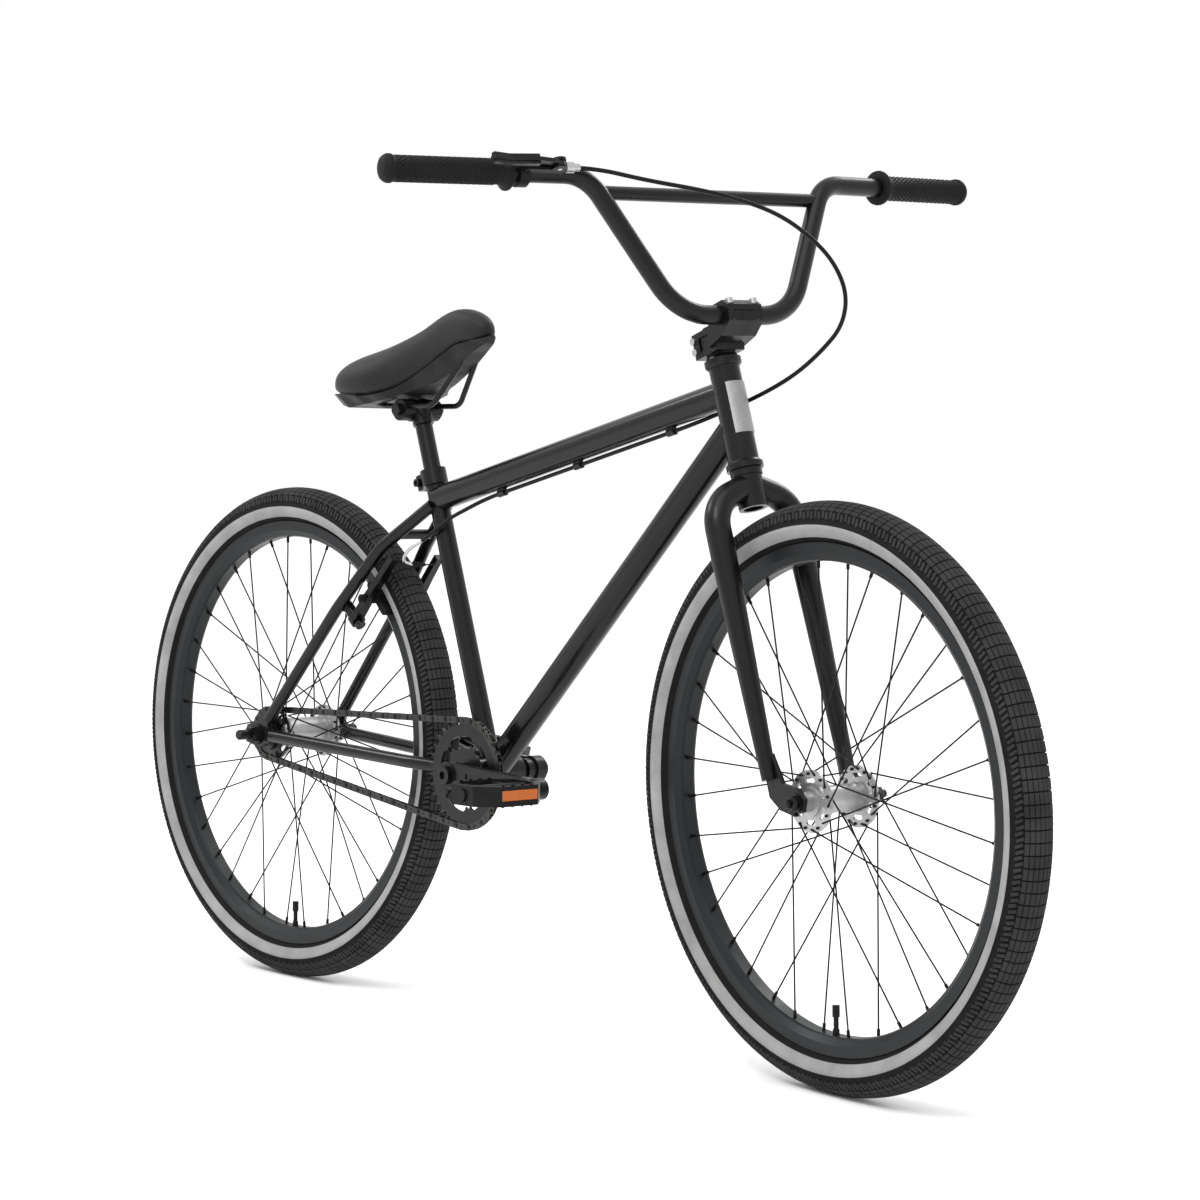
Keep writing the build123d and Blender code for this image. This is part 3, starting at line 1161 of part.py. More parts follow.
def make_saddle_clamp():
    """The band round the post's neck, the ridged washers that grip the rails, and the bolt."""
    centre = CLAMP_CENTRE
    x, z = centre.X, centre.Z
    band = drum(x, z, -12.0, 12.0, CLAMP_DRUM_RADIUS)
    band = band + rod(seat_point(SEAT_CLAMP_TRAVEL - 18), seat_point(SEAT_CLAMP_TRAVEL + 6), 13.5)
    band -= rod(seat_point(POST_LOW), seat_point(SEAT_CLAMP_TRAVEL + 40), SEATPOST_RADIUS - 1.6 + JOINT_GAP)
    pieces = [band]
    for side in (-1, 1):
        low, high = sorted((side * (12.0 + JOINT_GAP), side * 30.0))
        washer = drum(x, z, low, high, CLAMP_DRUM_RADIUS - 1.0)
        washer -= drum_along(x, side * RAIL_SPREAD, z + 5.0, 60.0, RAIL_RADIUS + JOINT_GAP)
        for index in range(18):
            angle = radians(20 * index)
            spot = (x + 14.5 * cos(angle), z + 14.5 * sin(angle))
            washer -= drum(spot[0], spot[1], low - 1, high + 1, 1.1)
        pieces.append(washer)
        low, high = sorted((side * (30.0 + JOINT_GAP), side * 37.0))
        pieces.append(hex_nut(x, z, low, high, 13.0, 3.9) if side > 0 else drum(x, z, low, high, 7.5))
    return pieces


def rail_points():
    """The left saddle rail, from the nose socket under the clamp to the tail socket."""
    x, z = CLAMP_CENTRE.X, CLAMP_CENTRE.Z
    return [
        Vector(x + 112, 9.0, z + 72), Vector(x + 58, RAIL_SPREAD, z + 5.0), Vector(x - 38, RAIL_SPREAD, z + 5.0),
        Vector(x - 92, 27.0, z + 17.0),
    ]


SADDLE_STATIONS = (
    (-0.114, 38.0, 806.0, 788.0), (-0.105, 58.0, 820.0, 784.0), (-0.085, 67.0, 830.0, 782.0),
    (-0.045, 68.5, 840.0, 781.0), (-0.010, 60.0, 850.0, 785.0), (0.025, 42.0, 864.0, 800.0),
    (0.060, 27.0, 884.0, 825.0), (0.095, 22.0, 893.5, 845.0), (0.125, 19.0, 888.5, 851.0),
    (0.143, 13.0, 879.0, 854.0), (0.150, 6.0, 871.0, 857.0),
)
SADDLE_X = 1000.0
SADDLE_DATUM = 783.0
COVER_LIFT = 0.4
BASE_DEPTHS = (3.0, 14.0, 15.0, 9.0, 7.0, 11.0, 26.0, 29.0, 14.0, 7.0, 2.0)


def saddle_section(x, half_width, top, bottom):
    """A crowned cross-section of the saddle's padding."""
    height = top - bottom
    shoulder = bottom + height * 0.62
    curve = Spline(
        (-half_width, bottom), (-half_width * 0.97, shoulder), (-half_width * 0.6, bottom + height * 0.93),
        (0, top), (half_width * 0.6, bottom + height * 0.93), (half_width * 0.97, shoulder),
        (half_width, bottom),
    )
    base = Line((half_width, bottom), (-half_width, bottom))
    plane = Plane(origin=(x, 0, 0), x_dir=(0, 1, 0), z_dir=(1, 0, 0))
    return plane * make_face([curve, base])


def make_saddle():
    """The padded cover and the moulded base that carries it."""
    covers = []
    bases = []
    lift = CLAMP_CENTRE.Z + SADDLE_LIFT - SADDLE_DATUM
    for (share, half_width, top, bottom), depth in zip(SADDLE_STATIONS, BASE_DEPTHS):
        x = CLAMP_CENTRE.X + share * SADDLE_X
        covers.append(saddle_section(x, half_width, top + lift, bottom + lift))
        plane = Plane(origin=(x, 0, 0), x_dir=(0, 1, 0), z_dir=(1, 0, 0))
        wide = half_width - 3.0
        outline = Polyline(
            (-wide, bottom + lift - COVER_LIFT), (wide, bottom + lift - COVER_LIFT),
            (wide * 0.72, bottom + lift - COVER_LIFT - depth), (-wide * 0.72, bottom + lift - COVER_LIFT - depth),
            close=True,
        )
        bases.append(plane * make_face(outline))
    cover = loft(covers)
    base = loft(bases, ruled=True)
    base = base - cover
    for side in (-1, 1):
        points = [Vector(p.X, side * p.Y, p.Z) for p in rail_points()]
        base = base - bent_rod(points, [24.0, 30.0], RAIL_RADIUS + JOINT_GAP)
        cover = cover - bent_rod(points, [24.0, 30.0], RAIL_RADIUS + JOINT_GAP)
    return largest(cover), largest(base)


# ---------------------------------------------------------------- brake cable
def route_radii(points):
    """The largest smooth arc at each corner: 0.45 of the shorter run over tan(half the turn)."""
    radii = []
    for before, corner, after in zip(points, points[1:], points[2:]):
        into = corner - before
        out = after - corner
        turn = radians(into.get_angle(out))
        radii.append(0.45 * min(into.length, out.length) / tan(turn / 2))
    return radii


def lever_exit(travel):
    """A point straight out of the lever's adjuster, in the turned steering assembly."""
    place = lever_frame()
    point = place.from_local_coords(Vector(61.0 + travel, 18.5, 0))
    return turned(Vertex(point.X, point.Y, point.Z)).center()


CABLE_JOIN = top_tube_below(GUIDE_SHARES[2], CABLE_DROP)
TOP_TUBE_ALONG = (steer_point(FORK_LENGTH + TOP_TUBE_ON_HEAD) - seat_point(TOP_TUBE_ON_SEAT)).normalized()


def loop_points():
    """The free loop of housing from the lever to the first clip under the top tube."""
    return [
        lever_exit(0.0), lever_exit(32.0), Vector(316, -128, 1016), Vector(348, -76, 1007.5),
        Vector(376, -36, 997), Vector(405, -4, 981), Vector(427, 25, 956), Vector(443, 46, 928),
        Vector(450, 60, 893), Vector(438, 65, 858), Vector(411, 61, 831), Vector(379, 53, 805),
        Vector(343, 41, 784), Vector(304, 25, 765.5), CABLE_JOIN + TOP_TUBE_ALONG * 36.0,
        CABLE_JOIN + TOP_TUBE_ALONG * 6.5,
    ]


def frame_cable_points():
    """The housing along the top tube, past the seat tube and down to the noodle."""
    rear = top_tube_below(GUIDE_SHARES[0], CABLE_DROP)
    return [
        CABLE_JOIN + TOP_TUBE_ALONG * 6.45, rear - TOP_TUBE_ALONG * 34, Vector(-164, -16.5, 627),
        Vector(-190, -19.5, 610), Vector(-212, -20.5, 598),
    ]


def noodle_points():
    """The bent metal guide from the housing down to the brake, in front of its arms."""
    return [
        Vector(-212.05, -20.5, 597.97), Vector(-231, -27.0, 587), Vector(-241.5, -31.0, 571),
        Vector(-243, -12.0, 566),
    ]


def make_boot():
    """The rubber boot on the bare wire between the arms, and the wire."""
    low = noodle_points()[-1]
    x, z = low.X, low.Z
    boot = rod((x, low.Y + 0.1, z), (x, 9.0, z), 3.8, 2.0)
    for index in range(6):
        boot += Pos(x, low.Y + 2.5 + 3.2 * index, z) * Rot(90, 0, 0) * Cylinder(4.1 - 0.3 * index, 1.2)
    return boot + rod((x, 8.0, z), (x, 27.0, z), 0.9)


# ---------------------------------------------------------------- the whole bicycle
def build():
    """Every node of the bicycle, by name."""
    parts = {}
    rollers = chain_route()
    parts.update(make_frame_tubes())
    chainstay, seatstay = make_stays()
    dropout = make_dropouts() - chainstay - seatstay
    dropout = largest(dropout)
    parts["chainstays"] = grouped(chainstay, mirrored(chainstay), dropout, mirrored(dropout))
    parts["stay_bridges"] = grouped(*make_bridges(chainstay, seatstay))
    post = make_brake_post() - seatstay
    post = largest(post)
    parts["seatstays"] = grouped(seatstay, mirrored(seatstay), post, mirrored(post))
    parts["cable_guides"] = grouped(*make_cable_guides())
    parts["head_badge"] = make_head_badge()
    parts["headset_cups"] = grouped(*make_headset_cups())
    parts["seat_collar"] = grouped(*make_seat_collar())
    parts["bottom_bracket_cups"] = grouped(*make_bottom_bracket_cups())
    rear_axle, rear_nuts = make_rear_axle()
    parts["rear_axle"] = grouped(rear_axle, *rear_nuts)

    parts["seatpost"] = make_seatpost()
    parts["saddle_clamp"] = grouped(*make_saddle_clamp())
    rail = bent_rod(rail_points(), [24.0, 30.0], RAIL_RADIUS)
    parts["saddle_cover"], parts["saddle_base"] = make_saddle()
    parts["saddle_rails"] = grouped(rail, mirrored(rail))

    leg = make_fork_leg()
    fork_dropout = make_fork_dropout(leg)
    stem_body, stem_cap, stem_bolts = make_stem()
    bar, crossbar = make_handlebar()
    bracket, lever_trim = make_lever_bracket()
    front_axle, front_nuts = make_front_axle()
    steered = {
        "fork_steerer": make_steerer(),
        "fork_legs": grouped(leg, mirrored(leg), fork_dropout, mirrored(fork_dropout)),
        "stem_body": stem_body,
        "stem_cap": stem_cap,
        "stem_bolts": grouped(*stem_bolts),
        "headset_top_cap": grouped(*make_top_cap()),
        "handlebar": bar,
        "handlebar_crossbar": crossbar,
        "grips": grouped(make_grip(-1), make_grip(1)),
        "brake_lever_bracket": bracket,
        "lever_adjuster": grouped(*lever_trim),
        "brake_lever_blade": make_lever_blade(),
        "front_axle": grouped(front_axle, *front_nuts),
    }
    front = make_wheel(
        FRONT_FLANGES, FRONT_HALF_SPACING, FRONT_AXLE_RADIUS + RUNNING_FIT, 15.5, HEAD_ANGLE - 180
    )
    for name, shape in front.items():
        steered["front_" + name] = FRONT_WHEEL_PLACE * shape
    for name, shape in steered.items():
        parts[name] = turned(shape)

    rear = make_wheel(
        REAR_FLANGES, REAR_HALF_SPACING - 5.0, REAR_AXLE_RADIUS + RUNNING_FIT, 19.0, -90, driver=54.0
    )
    for name, shape in rear.items():
        parts["rear_" + name] = REAR_WHEEL_PLACE * shape
    parts["freewheel_cog"] = make_freewheel(rollers)
    parts["chain"] = Compound(children=fused_chain(rollers))
    parts["chainring"] = make_chainring(rollers)
    parts["crank_spindle"] = make_spindle()
    arms = [make_crank_arm(side) for side in (-1, 1)]
    parts["crank_arms"] = grouped(*arms)
    for side, name in ((-1, "right"), (1, "left")):
        body, axle, reflectors = make_pedal(side)
        parts["pedal_" + name] = body
        parts["pedal_reflectors_" + name] = grouped(*reflectors)
        parts.setdefault("pedal_axles", []).append(axle)
    parts["pedal_axles"] = grouped(*parts["pedal_axles"])

    arm = make_brake_arm()
    pad = make_brake_pad()
    arm = arm - pad
    for side, name in ((-1, "right"), (1, "left")):
        parts["brake_arm_" + name] = arm if side > 0 else mirrored(arm)
        parts["brake_pad_" + name] = pad if side > 0 else mirrored(pad)
    cable = frame_cable_points()
    parts["rear_brake_cable"] = bent_rod(cable, route_radii(cable), CABLE_RADIUS)
    noodle = noodle_points()
    parts["brake_noodle"] = bent_rod(noodle, route_radii(noodle), NOODLE_RADIUS)
    parts["brake_boot"] = make_boot()
    loop = loop_points()
    parts["brake_cable_loop"] = bent_rod(loop, route_radii(loop), CABLE_RADIUS)
    return parts


def make_freewheel(rollers):
    """The one-way sprocket: a toothed ring round a body that runs on the hub's driver."""
    phase = roller_phase(rollers, REAR_AXLE, COG_RADIUS)
    cog = toothed_disc(COG_TEETH, COG_RADIUS, phase)
    cog += Pos(0, 0, 0.5) * Cylinder(22.0, 12.0)
    cog -= Cylinder(14.06 + RUNNING_FIT, 40)
    return Pos(REAR_AXLE.X, -CHAIN_LINE, REAR_AXLE.Z) * STAND_UP * cog


def fused_chain(rollers):
    """The chain's links as solids that each hold one roller and the plates ahead of it."""
    pieces = make_chain(rollers)
    links = []
    for index in range(0, len(pieces), 4):
        links.append(pieces[index] + pieces[index + 1])
        links.append(pieces[index + 2])
        links.append(pieces[index + 3])
    return [solid for link in links for solid in link.solids()]


def main():
    """Write one STEP file per node."""
    os.makedirs("parts", exist_ok=True)
    for name, shape in build().items():
        export_step(shape, os.path.join("parts", name + ".step"))
    for points in (loop_points(), frame_cable_points(), noodle_points()):
        print("cable radii", [round(radius, 1) for radius in route_radii(points)])


if __name__ == "__main__":
    main()
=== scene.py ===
import logging
from dataclasses import dataclass, field
from enum import Enum
from math import cos, pi, radians, sin

import bmesh
import bpy
import numpy as np
from mathutils import Matrix, Vector


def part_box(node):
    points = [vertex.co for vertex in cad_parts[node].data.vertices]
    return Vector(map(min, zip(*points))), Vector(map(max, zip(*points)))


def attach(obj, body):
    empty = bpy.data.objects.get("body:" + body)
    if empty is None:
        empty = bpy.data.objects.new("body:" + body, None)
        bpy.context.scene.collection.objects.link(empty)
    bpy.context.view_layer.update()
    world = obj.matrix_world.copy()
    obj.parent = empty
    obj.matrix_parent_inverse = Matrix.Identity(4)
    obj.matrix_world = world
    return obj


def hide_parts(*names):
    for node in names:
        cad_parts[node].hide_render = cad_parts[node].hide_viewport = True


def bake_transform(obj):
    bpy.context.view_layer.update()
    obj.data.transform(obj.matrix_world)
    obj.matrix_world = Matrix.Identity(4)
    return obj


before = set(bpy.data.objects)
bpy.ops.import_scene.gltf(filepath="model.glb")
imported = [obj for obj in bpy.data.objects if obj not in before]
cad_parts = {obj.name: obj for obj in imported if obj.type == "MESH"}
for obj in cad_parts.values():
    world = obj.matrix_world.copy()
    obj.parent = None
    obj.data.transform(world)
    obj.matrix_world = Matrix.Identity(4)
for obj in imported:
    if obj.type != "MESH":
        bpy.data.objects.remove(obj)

LOG = logging.getLogger("bmx")
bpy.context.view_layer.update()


class Slot(str, Enum):
    """The record's material slot names for tyre rubber, black rubber and saddle vinyl."""

    TYRE = "tyre_rubber"
    RUBBER = "black_rubber"
    VINYL = "saddle_vinyl"


class Side(Enum):
    """The two sides of the bicycle, as signs along Y."""

    RIGHT = -1
    LEFT = 1


# ---------------------------------------------------------------- finishes
class NodeTree:
    """A short way to build one material's nodes."""

    def __init__(self, name: str) -> None:
        """Start an empty material with a shader and an output.

        Args:
            name: The material's name.
        """
        self.material: bpy.types.Material = bpy.data.materials.new(name)
        self.material.use_nodes = True
        self.nodes = self.material.node_tree.nodes
        self.links = self.material.node_tree.links
        self.nodes.clear()
        self.shader = self.nodes.new("ShaderNodeBsdfPrincipled")
        output = self.nodes.new("ShaderNodeOutputMaterial")
        self.links.new(self.shader.outputs["BSDF"], output.inputs["Surface"])

    def add(self, kind: str, **settings: object) -> bpy.types.Node:
        """Add a node and set its properties.

        Args:
            kind: The node's type, without its ShaderNode prefix.
            settings: Properties of the node.

        Returns:
            The new node.
        """
        node = self.nodes.new("ShaderNode" + kind)
        for name, value in settings.items():
            setattr(node, name, value)
        return node

    def join(self, source: bpy.types.NodeSocket, target: bpy.types.NodeSocket) -> None:
        """Link one socket to another."""
        self.links.new(source, target)

    def coordinates(self, stretch: tuple[float, float, float] = (1.0, 1.0, 1.0)) -> bpy.types.NodeSocket:
        """Object coordinates in metres, stretched.

        Args:
            stretch: The scale along each axis.

        Returns:
            The socket that carries the coordinates.
        """
        source = self.add("TexCoord")
        mapping = self.add("Mapping")
        mapping.inputs["Scale"].default_value = stretch
        self.join(source.outputs["Object"], mapping.inputs["Vector"])
        return mapping.outputs["Vector"]

    def noise(self, vector: bpy.types.NodeSocket, scale: float, detail: float = 3.0) -> bpy.types.NodeSocket:
        """A noise pattern's factor.

        Args:
            vector: The coordinates it reads.
            scale: Its scale, per metre.
            detail: Its detail.

        Returns:
            The factor socket.
        """
        node = self.add("TexNoise")
        node.inputs["Scale"].default_value = scale
        node.inputs["Detail"].default_value = detail
        self.join(vector, node.inputs["Vector"])
        return node.outputs["Fac"]

    def ramp(
        self, factor: bpy.types.NodeSocket, low: tuple[float, tuple], high: tuple[float, tuple]
    ) -> bpy.types.NodeSocket:
        """A two-stop colour ramp.

        Args:
            factor: What drives it.
            low: The first stop's place and colour.
            high: The second stop's place and colour.

        Returns:
            The colour socket.
        """
        node = self.add("ValToRGB")
        for element, (place, colour) in zip(node.color_ramp.elements, (low, high)):
            element.position = place
            element.color = (*colour, 1.0)
        self.join(factor, node.inputs["Fac"])
        return node.outputs["Color"]

    def spread(
        self, factor: bpy.types.NodeSocket, low: float, high: float
    ) -> bpy.types.NodeSocket:
        """Spread a factor from 0 to 1 over a range of values.

        Args:
            factor: The factor.
            low: The value at 0.
            high: The value at 1.

        Returns:
            The value socket.
        """
        node = self.add("MapRange")
        node.inputs["To Min"].default_value = low
        node.inputs["To Max"].default_value = high
        self.join(factor, node.inputs["Value"])
        return node.outputs["Result"]

    def bump(
        self, height: bpy.types.NodeSocket, strength: float, distance: float,
        normal: bpy.types.NodeSocket | None = None,
    ) -> bpy.types.NodeSocket:
        """Raise the surface's normal by a height pattern.

        Args:
            height: The pattern.
            strength: How strong it is.
            distance: Its height, in metres.
            normal: A normal that it adds to.

        Returns:
            The normal socket.
        """
        node = self.add("Bump")
        node.inputs["Strength"].default_value = strength
        node.inputs["Distance"].default_value = distance
        self.join(height, node.inputs["Height"])
        if normal is not None:
            self.join(normal, node.inputs["Normal"])
        return node.outputs["Normal"]

    def set(self, **values: object) -> None:
        """Set constants on the shader's own sockets, by name with underscores for spaces."""
        for name, value in values.items():
            self.shader.inputs[name.replace("_", " ")].default_value = value


@dataclass(frozen=True)
class Paint:
    """Sprayed enamel or powder coat with a fine grain."""

    name: str
    dark: tuple[float, float, float]
    light: tuple[float, float, float]
    gloss: float
    coat: float
    fleck_scale: float = 2600.0
    fleck_start: float = 0.62
    fleck_end: float = 0.74
    peel: float = 0.05
    shine: float = 0.16

    def build(self) -> bpy.types.Material:
        """Make the paint: fleck in its colour, peel in its surface.

        Returns:
            The material.
        """
        tree = NodeTree(self.name)
        place = tree.coordinates()
        fleck = tree.noise(place, self.fleck_scale, 1.0)
        colour = tree.ramp(fleck, (self.fleck_start, self.dark), (self.fleck_end, self.light))
        tree.join(colour, tree.shader.inputs["Base Color"])
        cloud = tree.noise(place, 40.0, 4.0)
        tree.join(tree.spread(cloud, self.gloss * 0.8, self.gloss * 1.25), tree.shader.inputs["Roughness"])
        peel = tree.noise(place, 420.0, 2.0)
        tree.join(tree.bump(peel, self.peel, 0.0006), tree.shader.inputs["Normal"])
        tree.set(Specular_IOR_Level=self.shine, Coat_Weight=self.coat, Coat_Roughness=0.07, Coat_IOR=1.35)
        return tree.material


@dataclass(frozen=True)
class Metal:
    """Bare or plated metal with a turned or brushed grain."""

    name: str
    dark: tuple[float, float, float]
    light: tuple[float, float, float]
    roughness: float
    stretch: tuple[float, float, float] = (1.0, 1.0, 1.0)
    grain: float = 1400.0
    depth: float = 0.08

    def build(self) -> bpy.types.Material:
        """Make the metal: a fine grain in its colour and gloss.

        Returns:
            The material.
        """
        tree = NodeTree(self.name)
        place = tree.coordinates(self.stretch)
        grain = tree.noise(place, self.grain, 3.0)
        stain = tree.noise(tree.coordinates(), 55.0, 4.0)
        mix = tree.add("Math", operation="ADD", use_clamp=True)
        mix.inputs[1].default_value = 0.0
        tree.join(grain, mix.inputs[0])
        tree.join(tree.spread(stain, -0.25, 0.25), mix.inputs[1])
        colour = tree.ramp(mix.outputs[0], (0.2, self.dark), (0.8, self.light))
        tree.join(colour, tree.shader.inputs["Base Color"])
        tree.join(
            tree.spread(grain, self.roughness * 0.7, self.roughness * 1.4), tree.shader.inputs["Roughness"]
        )
        tree.join(tree.bump(grain, self.depth, 0.0004), tree.shader.inputs["Normal"])
        tree.set(Metallic=1.0)
        return tree.material


@dataclass(frozen=True)
class Rubber:
    """Moulded rubber or resin with a matt, faintly dusty skin."""

    name: str
    dark: tuple[float, float, float]
    light: tuple[float, float, float]
    roughness: float
    pore: float = 1800.0
    depth: float = 0.2
    ribs: float = 0.0

    def build(self) -> bpy.types.Material:
        """Make the rubber: pores, dust and, where it has them, moulded ribs.

        Returns:
            The material.
        """
        tree = NodeTree(self.name)
        place = tree.coordinates()
        dust = tree.noise(place, 28.0, 6.0)
        pores = tree.noise(place, self.pore, 2.0)
        mix = tree.add("Math", operation="MULTIPLY", use_clamp=True)
        tree.join(dust, mix.inputs[0])
        tree.join(tree.spread(pores, 0.7, 1.3), mix.inputs[1])
        colour = tree.ramp(mix.outputs[0], (0.25, self.dark), (0.75, self.light))
        tree.join(colour, tree.shader.inputs["Base Color"])
        tree.join(
            tree.spread(dust, self.roughness * 0.85, min(1.0, self.roughness * 1.15)),
            tree.shader.inputs["Roughness"],
        )
        normal = tree.bump(pores, self.depth, 0.0003)
        if self.ribs > 0.0:
            waves = tree.add("TexWave", wave_type="BANDS", bands_direction="X")
            waves.inputs["Scale"].default_value = self.ribs / (2 * pi)
            tree.join(place, waves.inputs["Vector"])
            normal = tree.bump(waves.outputs["Fac"], 0.6, 0.002, normal)
        tree.join(normal, tree.shader.inputs["Normal"])
        tree.set(Specular_IOR_Level=0.14)
        return tree.material


@dataclass(frozen=True)
class Vinyl:
    """Grained upholstery vinyl."""

    name: str
    dark: tuple[float, float, float]
    light: tuple[float, float, float]
    roughness: float

    def build(self) -> bpy.types.Material:
        """Make the vinyl: a pebbled grain with creases between its pebbles.

        Returns:
            The material.
        """
        tree = NodeTree(self.name)
        place = tree.coordinates()
        pebbles = tree.add("TexVoronoi", feature="SMOOTH_F1")
        pebbles.inputs["Scale"].default_value = 620.0
        pebbles.inputs["Smoothness"].default_value = 0.6
        tree.join(place, pebbles.inputs["Vector"])
        wear = tree.noise(place, 16.0, 5.0)
        tree.join(tree.ramp(wear, (0.35, self.dark), (0.7, self.light)), tree.shader.inputs["Base Color"])
        tree.join(
            tree.spread(wear, self.roughness * 0.85, self.roughness * 1.2), tree.shader.inputs["Roughness"]
        )
        tree.join(tree.bump(pebbles.outputs["Distance"], 0.35, 0.0005), tree.shader.inputs["Normal"])
        tree.set(Specular_IOR_Level=0.22, Sheen_Weight=0.05, Sheen_Roughness=0.5)
        return tree.material


@dataclass(frozen=True)
class Prism:
    """A moulded reflector with rows of small prisms under a clear face."""

    name: str
    dark: tuple[float, float, float]
    light: tuple[float, float, float]

    def build(self) -> bpy.types.Material:
        """Make the reflector's plastic.

        Returns:
            The material.
        """
        tree = NodeTree(self.name)
        place = tree.coordinates()
        grid = tree.add("TexVoronoi", feature="F1", distance="CHEBYCHEV")
        grid.inputs["Scale"].default_value = 430.0
        grid.inputs["Randomness"].default_value = 0.0
        tree.join(place, grid.inputs["Vector"])
        tree.join(
            tree.ramp(grid.outputs["Distance"], (0.1, self.light), (0.7, self.dark)),
            tree.shader.inputs["Base Color"],
        )
        tree.join(tree.bump(grid.outputs["Distance"], 0.7, 0.0008), tree.shader.inputs["Normal"])
        tree.set(Roughness=0.2, Specular_IOR_Level=0.3, Coat_Weight=0.3, Coat_Roughness=0.05)
        return tree.material


FRAME_PAINT = Paint("gloss_black_fleck", (0.0022, 0.0022, 0.0024), (0.050, 0.050, 0.052), 0.24, 0.35)
BAR_PAINT = Paint(
    "satin_black", (0.0026, 0.0026, 0.0028), (0.008, 0.008, 0.008),
    0.34, 0.12, peel=0.12, shine=0.22,
)
RIM_PAINT = Paint(
    "rim_black", (0.0050, 0.0062, 0.0072), (0.012, 0.014, 0.016),
    0.40, 0.05, peel=0.1, shine=0.24,
)
SPOKE_PAINT = Paint("spoke_black", (0.0030, 0.0030, 0.0030), (0.008, 0.008, 0.008), 0.4, 0.0)
SATIN_SILVER = Metal("satin_silver", (0.30, 0.30, 0.30), (0.52, 0.52, 0.52), 0.40, (1.0, 3.0, 1.0))
BRIGHT_STEEL = Metal("bright_steel", (0.34, 0.34, 0.34), (0.60, 0.60, 0.60), 0.26)
DARK_STEEL = Metal("dark_steel", (0.012, 0.012, 0.013), (0.055, 0.055, 0.055), 0.34)
CHAIN_STEEL = Metal("oiled_chain", (0.016, 0.016, 0.017), (0.085, 0.083, 0.08), 0.36)
BADGE_METAL = Metal(
    "brushed_badge", (0.24, 0.24, 0.24), (0.40, 0.40, 0.40),
    0.42, (1.0, 1.0, 0.06), 2600.0, 0.16,
)
DARK_ALLOY = Metal("dark_alloy", (0.010, 0.010, 0.011), (0.050, 0.050, 0.052), 0.33)
TYRE_BLACK = Rubber("tyre_black", (0.0035, 0.0035, 0.0035), (0.010, 0.010, 0.010), 0.80)
TREAD_BLACK = Rubber("tread_black", (0.016, 0.016, 0.016), (0.036, 0.036, 0.036), 0.82)
TYRE_BAND = Rubber("tyre_pale_band", (0.20, 0.20, 0.20), (0.30, 0.30, 0.298), 0.72, depth=0.3)
SOFT_BLACK = Rubber("soft_black_rubber", (0.004, 0.004, 0.004), (0.012, 0.012, 0.012), 0.62)
GRIP_BLACK = Rubber("grip_black_rubber", (0.003, 0.003, 0.003), (0.009, 0.009, 0.009), 0.60, depth=0.3)
HOUSING_BLACK = Rubber("cable_housing", (0.003, 0.003, 0.003), (0.007, 0.007, 0.007), 0.32, depth=0.05)
BLACK_RESIN = Rubber("black_resin", (0.003, 0.003, 0.0032), (0.010, 0.010, 0.010), 0.40, 900.0, 0.12)
GREY_RESIN = Rubber(
    "saddle_base_resin", (0.008, 0.008, 0.008), (0.024, 0.024, 0.024),
    0.46, 700.0, 0.2, ribs=62.0,
)
SADDLE_VINYL = Vinyl("saddle_vinyl", (0.006, 0.006, 0.006), (0.014, 0.014, 0.014), 0.55)
AMBER = Prism("amber_reflector", (0.28, 0.045, 0.004), (0.60, 0.15, 0.012))

NODE_FINISHES: dict[str, tuple[object, ...]] = {
    "frame": (FRAME_PAINT, "head_tube", "top_tube", "down_tube", "seat_tube", "bottom_bracket_shell",
              "chainstays", "seatstays", "stay_bridges", "cable_guides"),
    "bar": (BAR_PAINT, "headset_cups", "seat_collar", "bottom_bracket_cups", "seatpost", "saddle_clamp",
            "fork_steerer", "fork_legs", "stem_body", "stem_cap", "headset_top_cap", "handlebar",
            "handlebar_crossbar", "crank_arms", "chainring", "saddle_rails"),
    "rim": (RIM_PAINT, "front_rim", "rear_rim"),
    "spoke": (SPOKE_PAINT, "front_spokes", "rear_spokes"),
    "silver": (SATIN_SILVER, "front_hub", "rear_hub"),
    "bright": (BRIGHT_STEEL, "stem_bolts", "lever_adjuster", "brake_noodle"),
    "steel": (DARK_STEEL, "rear_axle", "front_axle", "crank_spindle", "pedal_axles"),
    "chain": (CHAIN_STEEL, "chain", "freewheel_cog"),
    "badge": (BADGE_METAL, "head_badge"),
    "alloy": (DARK_ALLOY, "brake_lever_blade", "brake_arm_right", "brake_arm_left"),
    "rubber": (SOFT_BLACK, "brake_boot", "front_valve", "rear_valve", "brake_pad_right", "brake_pad_left"),
    "housing": (HOUSING_BLACK, "rear_brake_cable"),
    "resin": (BLACK_RESIN, "brake_lever_bracket", "pedal_right", "pedal_left"),
    "base": (GREY_RESIN, "saddle_base"),
    "amber": (AMBER, "pedal_reflectors_right", "pedal_reflectors_left"),
}


class Finisher:
    """Keeps each finish's material and puts it on pieces."""

    def __init__(self) -> None:
        """Start with no material made."""
        self.made: dict[str, bpy.types.Material] = {}

    def material(self, finish: object) -> bpy.types.Material:
        """The finish's material, made the first time it is asked for."""
        if finish.name not in self.made:
            self.made[finish.name] = finish.build()
        return self.made[finish.name]

    def dress(self, piece: bpy.types.Object, *finishes: object) -> None:
        """Give a piece its materials, in order.

        Args:
            piece: The mesh object.
            finishes: One finish for each material index.
        """
        if len(piece.data.materials) > 0:
            piece.data.materials.clear()
        for finish in finishes:
            piece.data.materials.append(self.material(finish))

    def dress_nodes(self) -> None:
        """Give every CAD node its finish."""
        for finish, *names in NODE_FINISHES.values():
            for name in names:
                self.dress(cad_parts[name], finish)
            LOG.info("%s on %d nodes", finish.name, len(names))


